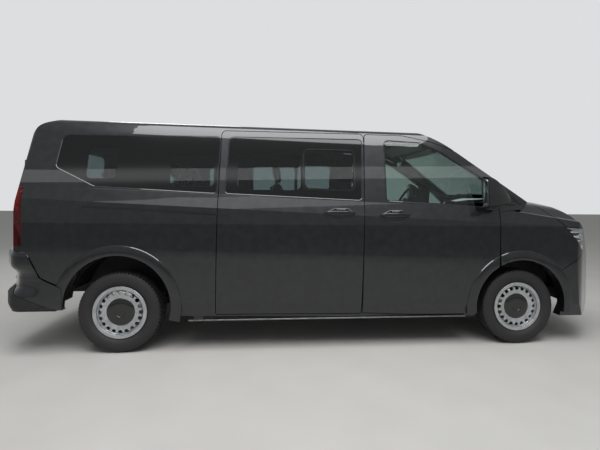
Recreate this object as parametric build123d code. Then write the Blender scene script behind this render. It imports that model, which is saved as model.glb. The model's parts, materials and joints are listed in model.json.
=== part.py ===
from build123d import *
import math
import os

# Long-wheelbase minibus with two rear wing doors and one sliding side door.
# Millimetres, +X forward, +Y left, +Z up, origin on the ground under the box centre.

# ---------------------------------------------------------------- driving sizes
LENGTH = 5450
WHEELBASE = 3500
REAR_AXLE_X = -1735
FRONT_AXLE_X = REAR_AXLE_X + WHEELBASE
NOSE_X = LENGTH / 2
NOSE_ROUNDING = 17    # how far the plan corner rounds the nose back
TAIL_X = -LENGTH / 2
BODY_WIDTH = 2008
HALF = BODY_WIDTH / 2
ROOF_TOP = 1978

GAP = 6               # shut line between panels
FIT = 0.3             # seated pieces
ROOF_WALL = 42
GLASS = 5
NOSE_WALL = 42
HOOD_X = 1900          # rear end of the bonnet's section
HOOD_Z = 1350          # height of the bonnet there
HOOD_FALL = 0.14       # fall of the bonnet per mm toward the nose
HOOD_BACK = 900        # the section is drawn this far behind HOOD_X
SCREEN_WALL = 36
TAIL_WALL = 62
DOOR_CLEAR = 8        # room between a closed door and the pillars behind it
PILLAR_T = 56
CENTRE_GAP = 8        # between the two rear doors
ROOF_SEAM_Y = 690
BUMPER_T = 110
LAMP_IN = 640
FENDER_TOP_Y = 800
BONNET_BACK_R = 3032
STEER_ARM_Z = 262
SPINDLE_R = 30
SPINDLE_TIP = -40
HUB_OUT = -58
HUB_IN = 30
MIRROR_OUT = 1137
RAIL_Y = 500
RAIL_Z = 430
TOW_BAR_X = (-2500, -2300)
TOW_BAR_HOLE_R = 6.5
RAIL_GROOVE_Y = 984    # bottom of the sliding door's rail groove
# lift pads under the sills: x, top of the pad's block
JACKS = [
    (-1100, 330),
    (1200, 270),
]
JACK_Y = 865
JACK_Z = 240
HINGE_R = 14
HINGE_TAB_X = 1958     # where the cowl's and the bonnet's hinge tabs meet
HINGE_TAB_Y = 700
TAIL_PIN_X = -2594
TAIL_PIN_Z = 1200
TAIL_PIN_Y = 775
RIM_DISC_R = 168
CAP_R = 117
HUB_R = 70
VENT_COUNT = 20
VENT_RING_R = 166
VENT_R = 17
DRIVER_Y = 385
WHEEL_X = 1085
WHEEL_Z = 1270
STEER_RIM_R = 185
COLUMN_TILT = math.radians(28)
LAMP_EDGE = 800
DOOR_TAPER = 0.085    # a front door's shut faces lean inward, so its rear edge swings out freely

TYRE_R = 339
TYRE_W = 215
RIM_SEAT_R = 203
RIM_FLANGE_R = 220
RIM_W = 182
WHEEL_Y = 850         # wheel centre plane
STEER_Y = 800         # steering axis
ARCH_FRONT_R = 415
ARCH_REAR_R = 428
ARCH_FRONT_Z = 360
ARCH_REAR_Z = 398
WELL_IN = 560         # inner face of the wheel wells

ARM_Y = 500            # trailing arms of the rear axle
FLOOR_TOP = 560
FLOOR_T = 40
BULKHEAD_X = 1790
TANK_TOP = FLOOR_TOP - FLOOR_T - FIT

os.makedirs("parts", exist_ok=True)

# body side corners at mid length: y, z, z rise per mm toward the tail, corner radius, wall inset
SIDE = [
    (900, 150, 0.000, 0, 90),
    (985, 405, 0.018, 0, 90),
    (HALF, 800, 0.030, 900, 90),
    (998, 1180, 0.045, 0, 84),
    (964, 1300, 0.040, 60, 58),
    (842, 1850, 0.022, 1500, 48),
    (800, 1935, 0.012, 75, 45),
    (560, 1962, 0.012, 900, 40),
]
CANT_RAIL_Z = 1900
CROWN_RISE = 0.012
CROWN_R = 3500
SECTION_X = 2900

# side profiles: x, z, corner radius, turned about a far upright axis to curve them in plan
SCREEN_AXIS = -1000
SCREEN = [
    (560, 2060, 0),
    (1165, 1885, 1200),
    (1985, 1300, 0),
    (2400, 1000, 0),
    (2400, 150, 0),
]
NOSE_AXIS = -1000
NOSE = [
    (HOOD_X, HOOD_Z, 0),
    (2150, 1305, 500),
    (2400, 1180, 400),
    (2545, 1030, 250),
    (2658, 830, 300),
    (NOSE_X, 560, 60),
    (2695, 330, 60),
    (2560, 150, 0),
]
TAIL_AXIS = 3000
TAIL = [
    (-2250, 1992, 0),
    (-2520, 1908, 150),
    (-2596, 1380, 900),
    (-2622, 1200, 300),
    (-2622, 150, 0),
]
# plan outline of the tail corners: z, half width, x of the tail, corner radius
TAIL_CORNERS = [
    (100, 1012, -2625, 150),
    (1250, 1012, -2625, 150),
    (1990, 828, -2520, 150),
]
# rear bumper section: painted band above, recess, dark step below
BUMPER_AXIS = 9000
BUMPER_IN = 906
REAR_BUMPER_SECTION = [
    (BUMPER_AXIS, 382, 0),
    (-2690, 382, 0),
    (-2722, 410, 20),
    (-2716, 496, 20),
    (-2664, 556, 30),
    (-2656, 690, 30),
    (-2716, 748, 30),
    (TAIL_X, 800, 40),
    (-2712, 868, 20),
    (BUMPER_AXIS, 868, 0),
]
# leaning plane of the rear doors
TAIL_PLANE_X = -2600
TAIL_PLANE_Z = 630
TAIL_LEAN = 0.075
# plan outline of the nose: x, y, corner radius
NOSE_PLAN = [
    (2000, 1100, 0),
    (2350, 985, 300),
    (2684, 640, 250),
    (NOSE_X + NOSE_ROUNDING, 0, 2500),
]
# bonnet section where it meets the screen: y, z, corner radius
HOOD = [
    (1100, 100, 0),
    (1100, 1130, 0),
    (955, 1190, 0),
    (860, 1282, 140),
    (560, 1322, 1000),
    (0, HOOD_Z, 3000),
]


# ---------------------------------------------------------------- drawing helpers
def rounded(points, radii):
    """Closed wire through corner points, each radius limited by its two sides."""
    corner = [Vector(*p) for p in points]
    fitted = []
    for i, here in enumerate(corner):
        back = corner[i - 1] - here
        ahead = corner[(i + 1) % len(corner)] - here
        half_turn = math.radians(180 - back.get_angle(ahead)) / 2
        room = 0.47 * min(back.length, ahead.length) / math.tan(half_turn)
        fitted.append(min(radii[i], room))
    return Wire(FilletPolyline(*corner, radius=fitted, close=True).edges())


def block(x0, x1, y0, y1, z0, z1):
    return Solid.make_box(x1 - x0, y1 - y0, z1 - z0, Plane((x0, y0, z0)))


def rod(start, end, radius):
    way = Vector(*end) - Vector(*start)
    return Solid.make_cylinder(radius, way.length, Plane(Vector(*start), z_dir=way))


def side_prism(rows, y0, y1):
    """Side-view outline of (x, z, radius) rows, extruded from y0 to y1."""
    face = Face(rounded([(x, y0, z) for x, z, r in rows], [r for x, z, r in rows]))
    return Solid.extrude(face, Vector(0, y1 - y0, 0))


def front_prism(rows, x0, x1):
    """Front-view outline of (y, z, radius) rows, extruded from x0 to x1."""
    face = Face(rounded([(x0, y, z) for y, z, r in rows], [r for y, z, r in rows]))
    return Solid.extrude(face, Vector(x1 - x0, 0, 0))


def plan_prism(rows, z0, z1):
    """Plan outline of (x, y, radius) rows, extruded from z0 to z1."""
    face = Face(rounded([(x, y, z0) for x, y, r in rows], [r for x, y, r in rows]))
    return Solid.extrude(face, Vector(0, 0, z1 - z0))


def turned(rows, axis_x):
    face = Face(rounded([(x, 0, z) for x, z, r in rows], [r for x, z, r in rows]))
    return Solid.revolve(face, 360, Axis((axis_x, 0, 0), (0, 0, 1)))


def wheel_turned(rows, x, z):
    """Section of (radius, y, corner) rows turned about a wheel's axis."""
    points = [(x, y, z + radius) for radius, y, c in rows]
    face = Face(rounded(points, [c for radius, y, c in rows]))
    return Solid.revolve(face, 360, Axis((x, 0, z), (0, 1, 0)))


def grown(rows, amount):
    """Outline rows (a, b, radius) with each edge moved outward, or inward when negative."""
    count = len(rows)
    area = sum(rows[i - 1][0] * rows[i][1] - rows[i][0] * rows[i - 1][1] for i in range(count))
    way = 1 if area > 0 else -1
    moved = []
    for i, (a, b, radius) in enumerate(rows):
        before = rows[i - 1]
        after = rows[(i + 1) % count]
        first = Vector(b - before[1], before[0] - a, 0).normalized()
        second = Vector(after[1] - b, a - after[0], 0).normalized()
        step = (first + second) * (way * amount / (1 + first.dot(second)))
        moved.append((a + step.X, b + step.Y, max(radius + amount, 1) if radius else 0))
    return moved


def side_plug(rows, amount, side=-1):
    """Door-shaped plug in side view; rows are true at y = HALF and lean inward from there."""
    wires = []
    for y in (HALF + 60, 500):
        outline = grown(rows, amount + (y - HALF) * DOOR_TAPER)
        wires.append(rounded([(x, side * y, z) for x, z, r in outline], [r for x, z, r in outline]))
    return Solid.make_loft(wires, ruled=True)


def tail_plug(rows, amount):
    """Door-shaped plug in rear view, drawn out square to the leaning doors."""
    wires = []
    for depth in (-140, 240):
        outline = grown(rows, amount)
        points = [(TAIL_PLANE_X + depth + (z - TAIL_PLANE_Z) * TAIL_LEAN, y, z - depth * TAIL_LEAN)
                  for y, z, r in outline]
        wires.append(rounded(points, [r for y, z, r in outline]))
    return Solid.make_loft(wires, ruled=True)


def one(shape):
    """Largest solid of a result."""
    solids = sorted(shape.solids(), key=lambda s: s.volume)
    return solids[-1]


def mirrored(shape):
    return shape.mirror(Plane.XZ)


def save(name, *shapes):
    solids = []
    for shape in shapes:
        solids += shape.solids()
    kept = solids[0] if len(solids) == 1 else Compound(solids)
    export_step(kept, "parts/" + name + ".step")
    return kept


# ---------------------------------------------------------------- whole body forms
def section_wire(x, walls, extra):
    """Body section at x, moved in by a number of wall thicknesses and an extra length."""
    roof_drop = ROOF_WALL * walls + extra
    half = []
    for y, z, rise, radius, wall in SIDE:
        drop = roof_drop if z > CANT_RAIL_Z else 0
        half.append((x, y - wall * walls - extra, z - rise * x - drop, radius))
    top = (x, 0, ROOF_TOP - CROWN_RISE * x - roof_drop, CROWN_R)
    rows = half + [top] + [(x, -y, z, radius) for x, y, z, radius in reversed(half)]
    return rounded([row[:3] for row in rows], [row[3] for row in rows])


def main_form(walls, extra=0):
    wires = [section_wire(x, walls, extra) for x in (-SECTION_X, SECTION_X)]
    return Solid.make_loft(wires, ruled=True)


def screen_form(depth):
    rows = [(SCREEN_AXIS, 2200, 0)]
    rows += [(x - depth, z - depth * 0.7, r) for x, z, r in SCREEN]
    rows += [(SCREEN_AXIS, 150, 0)]
    return turned(rows, SCREEN_AXIS)


def nose_form(depth):
    rows = [(NOSE_AXIS, HOOD_Z - depth, 0)]
    rows += [(x - depth * (0 if z > 1300 else 1), z - depth * (1 if z > 1000 else 0), r) for x, z, r in NOSE]
    rows += [(NOSE_AXIS, 150, 0)]
    form = turned(rows, NOSE_AXIS)
    outline = [(-1500, 1100, 0)] + [(x - depth, y - (depth if y < 1050 else 0), r) for x, y, r in NOSE_PLAN]
    outline += [(x, -y, r) for x, y, r in reversed(outline[:-1])]
    form = form & plan_prism(outline, 0, 2400)
    back_x = HOOD_X - HOOD_BACK
    section = [(y - (depth if y < 1050 else 0), z + HOOD_BACK * HOOD_FALL - depth, r) for y, z, r in HOOD]
    section += [(-y, z, r) for y, z, r in reversed(section[:-1])]
    face = Face(rounded([(back_x, y, z) for y, z, r in section], [r for y, z, r in section]))
    return form & Solid.extrude(face, Vector(2200, 0, -2200 * HOOD_FALL))


def tail_form(depth):
    rows = [(TAIL_AXIS, 2200, 0)]
    rows += [(x + depth, z, r) for x, z, r in TAIL]
    rows += [(TAIL_AXIS, 150, 0)]
    form = turned(rows, TAIL_AXIS)
    wires = []
    for z, half, x, radius in TAIL_CORNERS:
        corner = [(3000, -half + depth, z), (x + depth, -half + depth, z)]
        corner += [(x + depth, half - depth, z), (3000, half - depth, z)]
        wires.append(rounded(corner, [0, radius - min(depth, 60), radius - min(depth, 60), 0]))
    return form & Solid.make_loft(wires, ruled=True)


cabin_outer = one(main_form(0) & screen_form(0) & tail_form(0))
cabin_inner = one(main_form(1) & screen_form(SCREEN_WALL) & tail_form(TAIL_WALL))
cabin_under_glass = one(main_form(0, GLASS) & screen_form(GLASS) & tail_form(GLASS))
nose_outer = one(main_form(0) & nose_form(0))
nose_inner = one(main_form(1) & nose_form(NOSE_WALL))
cabin_shell = cabin_outer - cabin_inner
nose_shell = nose_outer - nose_inner
glass_skin = cabin_outer - cabin_under_glass
behind_doors = main_form(1, DOOR_CLEAR)
door_room = cabin_outer - behind_doors
pillar_ring = main_form(1, -2) - main_form(1, PILLAR_T)
trim_room = main_form(1, PILLAR_T + FIT)

# ---------------------------------------------------------------- outlines in side view
# right-hand side, x, z, corner radius
FRONT_DOOR = [
    (316, 304, 14),
    (330, 1912, 40),
    (700, 1908, 250),
    (976, 1850, 150),
    (1213, 1759, 200),
    (1567, 1507, 25),
    (1555, 700, 10),
    (1500, 250, 10),
]
SLIDING_DOOR = [
    (-944, 316, 14),
    (-918, 1898, 40),
    (338, 1898, 40),
    (310, 304, 14),
]
FRONT_WINDOW = [
    (530, 1302, 25),
    (528, 1838, 40),
    (860, 1822, 120),
    (1040, 1752, 150),
    (1366, 1543, 150),
    (1458, 1478, 12),
    (1470, 1250, 30),
]
QUARTER_LIGHT = [
    (1606, 1262, 12),
    (1606, 1428, 12),
    (1806, 1250, 12),
]
MIDDLE_WINDOW = [
    (-868, 1352, 25),
    (-846, 1836, 40),
    (318, 1840, 40),
    (300, 1304, 25),
]
REAR_WINDOW = [
    (-2245, 1556, 40),
    (-2215, 1826, 50),
    (-925, 1836, 40),
    (-946, 1352, 25),
    (-1930, 1400, 130),
]
FENDER = [
    (1560, 560, 0),
    (1560, 1208, 0),
    (1800, 1228, 40),
    (1852, 1322, 20),
    (1902, 1323, 0),
    (2210, 1049.6, 0),
    (2372, 860, 0),
    (2372, 826, 0),
    (2140, 676, 0),
    (2140, 560, 0),
]
BONNET = [
    (1792, 1420, 0),
    (2196, 1062, 0),
    (2900, 1006, 0),
    (2900, 1420, 0),
]
# plan outline of the space behind the bonnet's rear edge: x, y, corner radius
BONNET_BACK = [
    (1500, -1200, 0),
    (1850, -1200, 0),
    (2038, -420, 1500),
    (2038, 420, 1500),
    (1850, 1200, 0),
    (1500, 1200, 0),
]
HEADLAMP = [
    (2202, 1058, 0),
    (2900, 1002, 0),
    (2900, 878 + FIT, 0),
    (2358, 866 + FIT, 0),
]
FRONT_BUMPER = [
    (2120, 250, 0),
    (2120, 660, 0),
    (2358, 815, 0),
    (2358, 866, 0),
    (2900, 878, 0),
    (2900, 330, 0),
    (2620, 250, 0),
]
# front view, y, z, corner radius
LOWER_OPENING = [
    (-620, 345, 40),
    (-560, 540, 60),
    (560, 540, 60),
    (620, 345, 40),
]
# rear bumper in side view: x, z, corner radius
REAR_BUMPER = [
    (-2160, 380, 0),
    (-2160, 560, 0),
    (-2330, 640, 60),
    (-2440, 862, 30),
    (-2900, 872, 0),
    (-2900, 380, 0),
]
SLIDE_RAIL = [
    (-1648, 1204, 0),
    (-1648, 1220, 0),
    (-950, 1176, 0),
    (-950, 1160, 0),
]
TAIL_LAMP = [
    (-2900, 908, 0),
    (-2474, 908, 0),
    (-2474, 1384, 0),
    (-2900, 1384, 0),
]
UNDERSIDE = [
    (-2900, 0, 0),
    (-2900, 312, 0),
    (-1300, 308, 0),
    (1500, 252, 0),
    (2300, 262, 0),
    (2900, 330, 0),
    (2900, 0, 0),
]
FENDER_CUT = [
    (1560, 100, 0),
    (1560, 1208, 0),
    (1800, 1228, 40),
    (1852, 1322, 20),
    (1852, 1322.5, 0),
    (2500, 1322.5, 0),
    (2500, 100, 0),
]
# rear view, y, z, corner radius
REAR_DOOR = [
    (-748, 630, 20),
    (-735, 1300, 200),
    (-640, 1852, 60),
    (-CENTRE_GAP / 2, 1862, 6),
    (-CENTRE_GAP / 2, 626, 6),
]
# hinge height on the rear doors, y of the leaf's inner end
TAIL_HINGES = [
    (1000, -715),
    (1570, -662),
]
REAR_GLASS = [
    (-668, 1300, 60),
    (-590, 1760, 70),
    (-85, 1775, 60),
    (-85, 1290, 60),
]
SCREEN_GLASS = [
    (-770, 1334, 40),
    (-655, 1850, 60),
    (655, 1850, 60),
    (770, 1334, 40),
]


def arch(x, z, radius, side, depth):
    """Wheel arch space open to the outside, down to the ground."""
    y_in = side * depth
    y_out = side * 1200
    low, high = sorted((y_in, y_out))
    space = rod((x, low, z), (x, high, z), radius)
    return space + block(x - radius * 0.985, x + radius * 0.985, low, high, -50, z - 70)


def wheel_free_ring(x, inner, outer, z0, z1):
    """Flat ring about an upright axis."""
    return rod((x, 0, z0), (x, 0, z1), outer) - rod((x, 0, z0 - 1), (x, 0, z1 + 1), inner)


under = side_prism(UNDERSIDE, -1200, 1200)
front_arch = arch(FRONT_AXLE_X, ARCH_FRONT_Z, ARCH_FRONT_R, -1, WELL_IN)
rear_arch = arch(REAR_AXLE_X, ARCH_REAR_Z, ARCH_REAR_R, -1, WELL_IN)
right_half = block(-3000, 3000, -1300, 0, 0, 2300)
roof_zone = block(-2900, 1500, -ROOF_SEAM_Y, ROOF_SEAM_Y, 1800, 2200)
rear_zone = side_prism(REAR_BUMPER, -1300, 1300)
lamp_zone = side_prism(grown(TAIL_LAMP, FIT), -1300, -LAMP_EDGE + FIT)

# ---------------------------------------------------------------- doors and glass, right-hand side
front_opening = side_plug(FRONT_DOOR, GAP / 2)
sliding_opening = side_prism(grown(SLIDING_DOOR, GAP / 2), -1300, -400)
door_stock = cabin_outer - main_form(1)
front_door_skin = door_stock & side_plug(FRONT_DOOR, -GAP / 2)
front_pane = side_prism(FRONT_WINDOW, -1200, -600)
front_pane_seat = side_prism(grown(FRONT_WINDOW, FIT), -1200, -600)
front_door = one(front_door_skin - front_pane_seat - front_arch)
front_door_glass = one(glass_skin & front_pane)
sliding_door = one((door_stock & side_prism(grown(SLIDING_DOOR, -GAP / 2), -1300, -400))
                   - side_prism(grown(MIDDLE_WINDOW, FIT), -1200, -600))
middle_pane = side_prism(MIDDLE_WINDOW, -1200, -600)
rear_pane = side_prism(REAR_WINDOW, -1200, -600)
quarter_pane = side_prism(QUARTER_LIGHT, -1200, -600)
middle_glass = one(glass_skin & middle_pane)
rear_side_glass = one(glass_skin & rear_pane)
quarter_glass = one(glass_skin & quarter_pane)

other_door = [(-y, z, r) for y, z, r in reversed(REAR_DOOR[:3])]
opening_rows = REAR_DOOR[:3] + [(0, 1862, 0)] + other_door + [(0, 626, 0)]
rear_opening = tail_plug(opening_rows, GAP / 2)
rear_door = one((cabin_shell & tail_plug(REAR_DOOR, 0))
                - front_prism(grown(REAR_GLASS, FIT), -2900, -2300)
                - (tail_form(28) & block(-2900, -2300, -20, 0, 500, 2000)))
rear_door_glass = one(glass_skin & front_prism(REAR_GLASS, -2900, -2300))

# ---------------------------------------------------------------- body sides
posts = pillar_ring & (block(296, 392, -1100, 0, 300, 1990) + block(-1010, -900, -1100, 0, 300, 1990)
                       + block(1470, 1556, -1100, 0, 500, 1500)
                       + block(-2160, 1560, -1100, 0, 240, FLOOR_TOP))
posts = posts & cabin_outer
base = (cabin_shell & right_half) + posts
base = base - roof_zone - rear_zone - lamp_zone - under
base = base - front_prism(grown(SCREEN_GLASS, FIT), 1000, 2600)
base = base - (front_opening & door_room) - rear_opening
base = base - side_prism(grown(FENDER_CUT, GAP / 2), -1200, 0) - front_arch - rear_arch
base = base - side_prism(grown(REAR_WINDOW, FIT), -1200, -600)
base = base - side_prism(grown(QUARTER_LIGHT, FIT), -1200, -600)
side_with_door_hole = base - (sliding_opening & door_room) - side_prism(SLIDE_RAIL, -1300, -RAIL_GROOVE_Y)
plain_side = base - side_prism(grown(MIDDLE_WINDOW, FIT), -1200, -600)

windscreen = one(glass_skin & front_prism(SCREEN_GLASS, 1000, 2600))
roof_panel = one((cabin_shell & block(-2900, 1500, -ROOF_SEAM_Y + FIT, ROOF_SEAM_Y - FIT, 1800, 2200))
                 - front_prism(grown(SCREEN_GLASS, FIT), 1000, 2600) - rear_opening)
tail_lamp = one(cabin_shell & side_prism(TAIL_LAMP, -1300, -LAMP_EDGE))

# ---------------------------------------------------------------- rear bumper
bumper_plan = [
    (-2150, 1008, 0),
    (-2560, 1016, 200),
    (-2690, 880, 130),
    (TAIL_X, 0, 4000),
]
bumper_plan += [(x, -y, r) for x, y, r in reversed(bumper_plan[:-1])]
bumper_form = plan_prism(bumper_plan, 300, 1000) & turned(REAR_BUMPER_SECTION, BUMPER_AXIS)
bumper_core = plan_prism(grown(bumper_plan, -BUMPER_T), 300, 1000)
bumper_core = bumper_core + block(-2300, -2000, -BUMPER_IN, BUMPER_IN, 300, 1000)
rear_bumper = (bumper_form - bumper_core) & side_prism(grown(REAR_BUMPER, -FIT), -1300, 1300)
rear_bumper = rear_bumper - block(-2900, -2300, -756, 756, 618, 1000) - rear_arch - mirrored(rear_arch)
rear_bumper = rear_bumper + block(-2650, -2520, -754, 754, 560, 617)
rear_bumper = one(rear_bumper)

# ---------------------------------------------------------------- nose
fender = nose_shell & side_prism(grown(FENDER, -GAP / 2), -1300, 0)
fender = (fender & block(1500, 2700, -1100, -FENDER_TOP_Y, 0, 1500)) - front_arch
fender = fender - side_prism(grown(HEADLAMP, FIT), -1300, 0)
fender = one(fender - side_prism(grown(FRONT_BUMPER, FIT), -1300, 0))
bonnet = (nose_shell & side_prism(grown(BONNET, -GAP / 2), -1300, 1300)) - plan_prism(BONNET_BACK, 1100, 1500)
cowl_ring = wheel_free_ring(NOSE_AXIS, BONNET_BACK_R - 78, BONNET_BACK_R, 1262, 1276)
cowl_panel = cowl_ring & block(1700, 2200, -FENDER_TOP_Y + FIT, FENDER_TOP_Y - FIT, 1200, 1300)
for side in (-1, 1):
    low, high = sorted((side * (HINGE_TAB_Y - 30), side * (HINGE_TAB_Y + 30)))
    cowl_panel = cowl_panel + block(1900, HINGE_TAB_X, low, high, 1226, 1276)
    bonnet = bonnet + block(HINGE_TAB_X + FIT, HINGE_TAB_X + 32, low, high, 1226, 1276)
cowl_panel = one(cowl_panel)
bonnet = one(bonnet)
headlamp = one(nose_shell & side_prism(HEADLAMP, -1300, -LAMP_IN))
bumper_zone = side_prism(FRONT_BUMPER, -1300, 1300)
front_bumper = one((nose_shell & bumper_zone) - front_arch - mirrored(front_arch)
                   - front_prism(LOWER_OPENING, 2000, 2900))
grille = nose_shell & block(2000, 2900, -LAMP_IN + FIT, LAMP_IN - FIT, 870, 1100)
grille = one(grille & side_prism(HEADLAMP, -1300, 1300))
lower_zone = front_prism(grown(LOWER_OPENING, -FIT), 2400, 2900)
lower_grille = one((lower_zone & nose_form(12)) - nose_form(34))

# ---------------------------------------------------------------- floor, wells and bulkhead
floor_plate = trim_room & block(-2540, BULKHEAD_X, -1000, 1000, FLOOR_TOP - FLOOR_T, FLOOR_TOP)
bulkhead = trim_room & block(BULKHEAD_X, BULKHEAD_X + 14, -1000, 1000, FLOOR_TOP - FLOOR_T, 1196)
cowl_half = FENDER_TOP_Y - 5
cowl = block(BULKHEAD_X, 1868, -cowl_half, cowl_half, 1222, 1236)
cowl = cowl + block(BULKHEAD_X, BULKHEAD_X + 14, -cowl_half, cowl_half, 1190, 1236)
floor_pan = floor_plate + bulkhead + cowl
for x, z, radius in ((REAR_AXLE_X, ARCH_REAR_Z, ARCH_REAR_R), (FRONT_AXLE_X, ARCH_FRONT_Z, ARCH_FRONT_R)):
    for side in (-1, 1):
        low, high = sorted((side * (WELL_IN - 10), side * 1000))
        well = rod((x, low, z), (x, high, z), radius + 10)
        well_end = min(x + 600, BULKHEAD_X + 14)
        well = well & trim_room & block(x - 600, well_end, -1000, 1000, FLOOR_TOP - FLOOR_T, 1000)
        floor_pan = floor_pan + well
for side in (-1, 1):
    for x, z, radius in ((REAR_AXLE_X, ARCH_REAR_Z, ARCH_REAR_R), (FRONT_AXLE_X, ARCH_FRONT_Z, ARCH_FRONT_R)):
        floor_pan = floor_pan - arch(x, z, radius, side, WELL_IN)
floor_pan = one(floor_pan)
# dashboard in side view: x, z, corner radius
dash_rows = [
    (1300, 640, 60),
    (1330, 960, 80),
    (1480, 1150, 60),
    (BULKHEAD_X - FIT, 1190, 20),
    (BULKHEAD_X - FIT, 600, 20),
    (1480, 600, 60),
]
dashboard = side_prism(dash_rows, -820, 820) & main_form(1, 20)
dashboard = one(dashboard - block(1300, 1700, -1000, 1000, 500, 620))
for side in (-1, 1):
    dashboard = dashboard - arch(FRONT_AXLE_X, ARCH_FRONT_Z, ARCH_FRONT_R + 16, side, WELL_IN - 16)
dashboard = one(dashboard)

# ---------------------------------------------------------------- steering wheel and column
column_way = Vector(math.cos(COLUMN_TILT), 0, -math.sin(COLUMN_TILT))
hub = Vector(WHEEL_X, DRIVER_Y, WHEEL_Z)
hub_plane = Plane(hub, x_dir=(0, 1, 0), z_dir=column_way)
rim = Solid.make_torus(STEER_RIM_R, 15, hub_plane)
boss = Solid.make_cylinder(62, 50, Plane(hub, z_dir=column_way).offset(-10))
spokes = hub_plane * Box(2 * STEER_RIM_R, 46, 16)
spoke_low = hub_plane * Pos(0, -STEER_RIM_R / 2, 0) * Box(60, STEER_RIM_R, 16)
steering_wheel = one(rim + boss + spokes + spoke_low)
shaft_start = hub + column_way * (40 + FIT)
steering_column = Solid.make_cylinder(34, 400, Plane(shaft_start, z_dir=column_way))
steering_column = one(steering_column - dashboard)


# ---------------------------------------------------------------- seats
def seat(x, y, width, back_height, heads):
    """Seat or bench whose hip point stands over (x, y); heads are head-rest offsets."""
    half = width / 2
    z = FLOOR_TOP
    cushion = side_prism([(x - 230, z + 290, 40), (x + 270, z + 320, 50), (x + 270, z + 450, 50),
                          (x - 230, z + 420, 40)], y - half, y + half)
    back = side_prism([(x - 250, z + 330, 40), (x - 130, z + 422.5, 30), (x - 290, z + back_height, 40),
                       (x - 390, z + back_height - 20, 40)], y - half + 10, y + half - 10)
    base = block(x - 190, x + 220, y - half + 60, y + half - 60, z + FIT, z + 300)
    shape = cushion + back + base
    for offset in heads:
        top = z + back_height
        head = side_prism([(x - 375, top + 25, 20), (x - 290, top + 35, 20), (x - 300, top + 190, 30),
                           (x - 375, top + 180, 30)], y + offset - 120, y + offset + 120)
        for post in (-60, 60):
            foot = (x - 335, y + offset + post, top - 60)
            head = head + rod(foot, (x - 340, y + offset + post, top + 60), 7)
        shape = shape + head
    return one(shape)


driver_seat = seat(820, DRIVER_Y, 500, 900, (0,))
passenger_seat = seat(820, -300, 860, 900, (-205, 205))
second_row = seat(-120, 120, 1380, 900, (-460, 0, 460))
third_row = seat(-1080, 0, 1260, 900, (-420, 0, 420))

# ---------------------------------------------------------------- underside
engine_block = block(1900, 2420, -390, 390, 420, 1010)
fuel_tank = side_prism([(-300, 270, 40), (500, 270, 40), (500, TANK_TOP, 40), (-300, TANK_TOP, 40)], 150, 640)
exhaust = rod((-1200, -330, 360), (1500, -330, 360), 32) + rod((-700, -330, 360), (0, -330, 360), 95)
exhaust = exhaust + rod((-700, -330, 360), (-700, -330, FLOOR_TOP - FLOOR_T - FIT), 12)
exhaust = one(exhaust + rod((1200, -330, 360), (1200, -330, FLOOR_TOP - FLOOR_T - FIT), 12))
rails = []
for side in (-1, 1):
    rail = block(-2560, -1200, side * RAIL_Y - 35, side * RAIL_Y + 35, RAIL_Z, FLOOR_TOP - FLOOR_T - FIT)
    for x in TOW_BAR_X:
        rail = rail - rod((x, side * RAIL_Y, RAIL_Z - 10), (x, side * RAIL_Y, FLOOR_TOP), TOW_BAR_HOLE_R)
    rails.append(one(rail))
subframe = block(1560, 2560, 350, 440, 300, 400) + block(1560, 2560, -440, -350, 300, 400)
subframe = subframe + block(1560, 1680, -440, 440, 300, 380) + block(2440, 2560, -440, 440, 300, 400)
for side in (-1, 1):
    low, high = sorted((side * 430, side * (STEER_Y + 30)))
    arm = block(FRONT_AXLE_X - 30, FRONT_AXLE_X + 30, low, high, STEER_ARM_Z - 26, STEER_ARM_Z)
    subframe = subframe + arm
    low, high = sorted((side * 380, side * 440))
    subframe = subframe + block(FRONT_AXLE_X - 60, FRONT_AXLE_X + 60, low, high, 236, 320)
    subframe = subframe + block(2100, 2200, *sorted((side * 350, side * 390)), 399, 420 - FIT)
    crash_can = block(2550, 2710, *sorted((side * 350, side * 440)), 300, 400) & nose_form(NOSE_WALL + FIT)
    subframe = subframe + crash_can
    tower = block(BULKHEAD_X + 14 + FIT, BULKHEAD_X + 100, low, high, 380, 800)
    subframe = subframe + tower
subframe = one(subframe)
axle_end = WHEEL_Y - SPINDLE_TIP
rear_axle = rod((REAR_AXLE_X, -axle_end, TYRE_R), (REAR_AXLE_X, axle_end, TYRE_R), SPINDLE_R)
for side in (-1, 1):
    arm_low = side * ARM_Y - 30
    arm_high = side * ARM_Y + 30
    arm = block(REAR_AXLE_X - 40, REAR_AXLE_X + 600, arm_low, arm_high, 310, 370)
    foot = block(REAR_AXLE_X + 540, REAR_AXLE_X + 600, arm_low, arm_high, 310, FLOOR_TOP - FLOOR_T - FIT)
    spring = rod((REAR_AXLE_X, side * ARM_Y, 360), (REAR_AXLE_X, side * ARM_Y, RAIL_Z - FIT), 55)
    rear_axle = rear_axle + arm + foot + spring
rear_axle = one(rear_axle)


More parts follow.
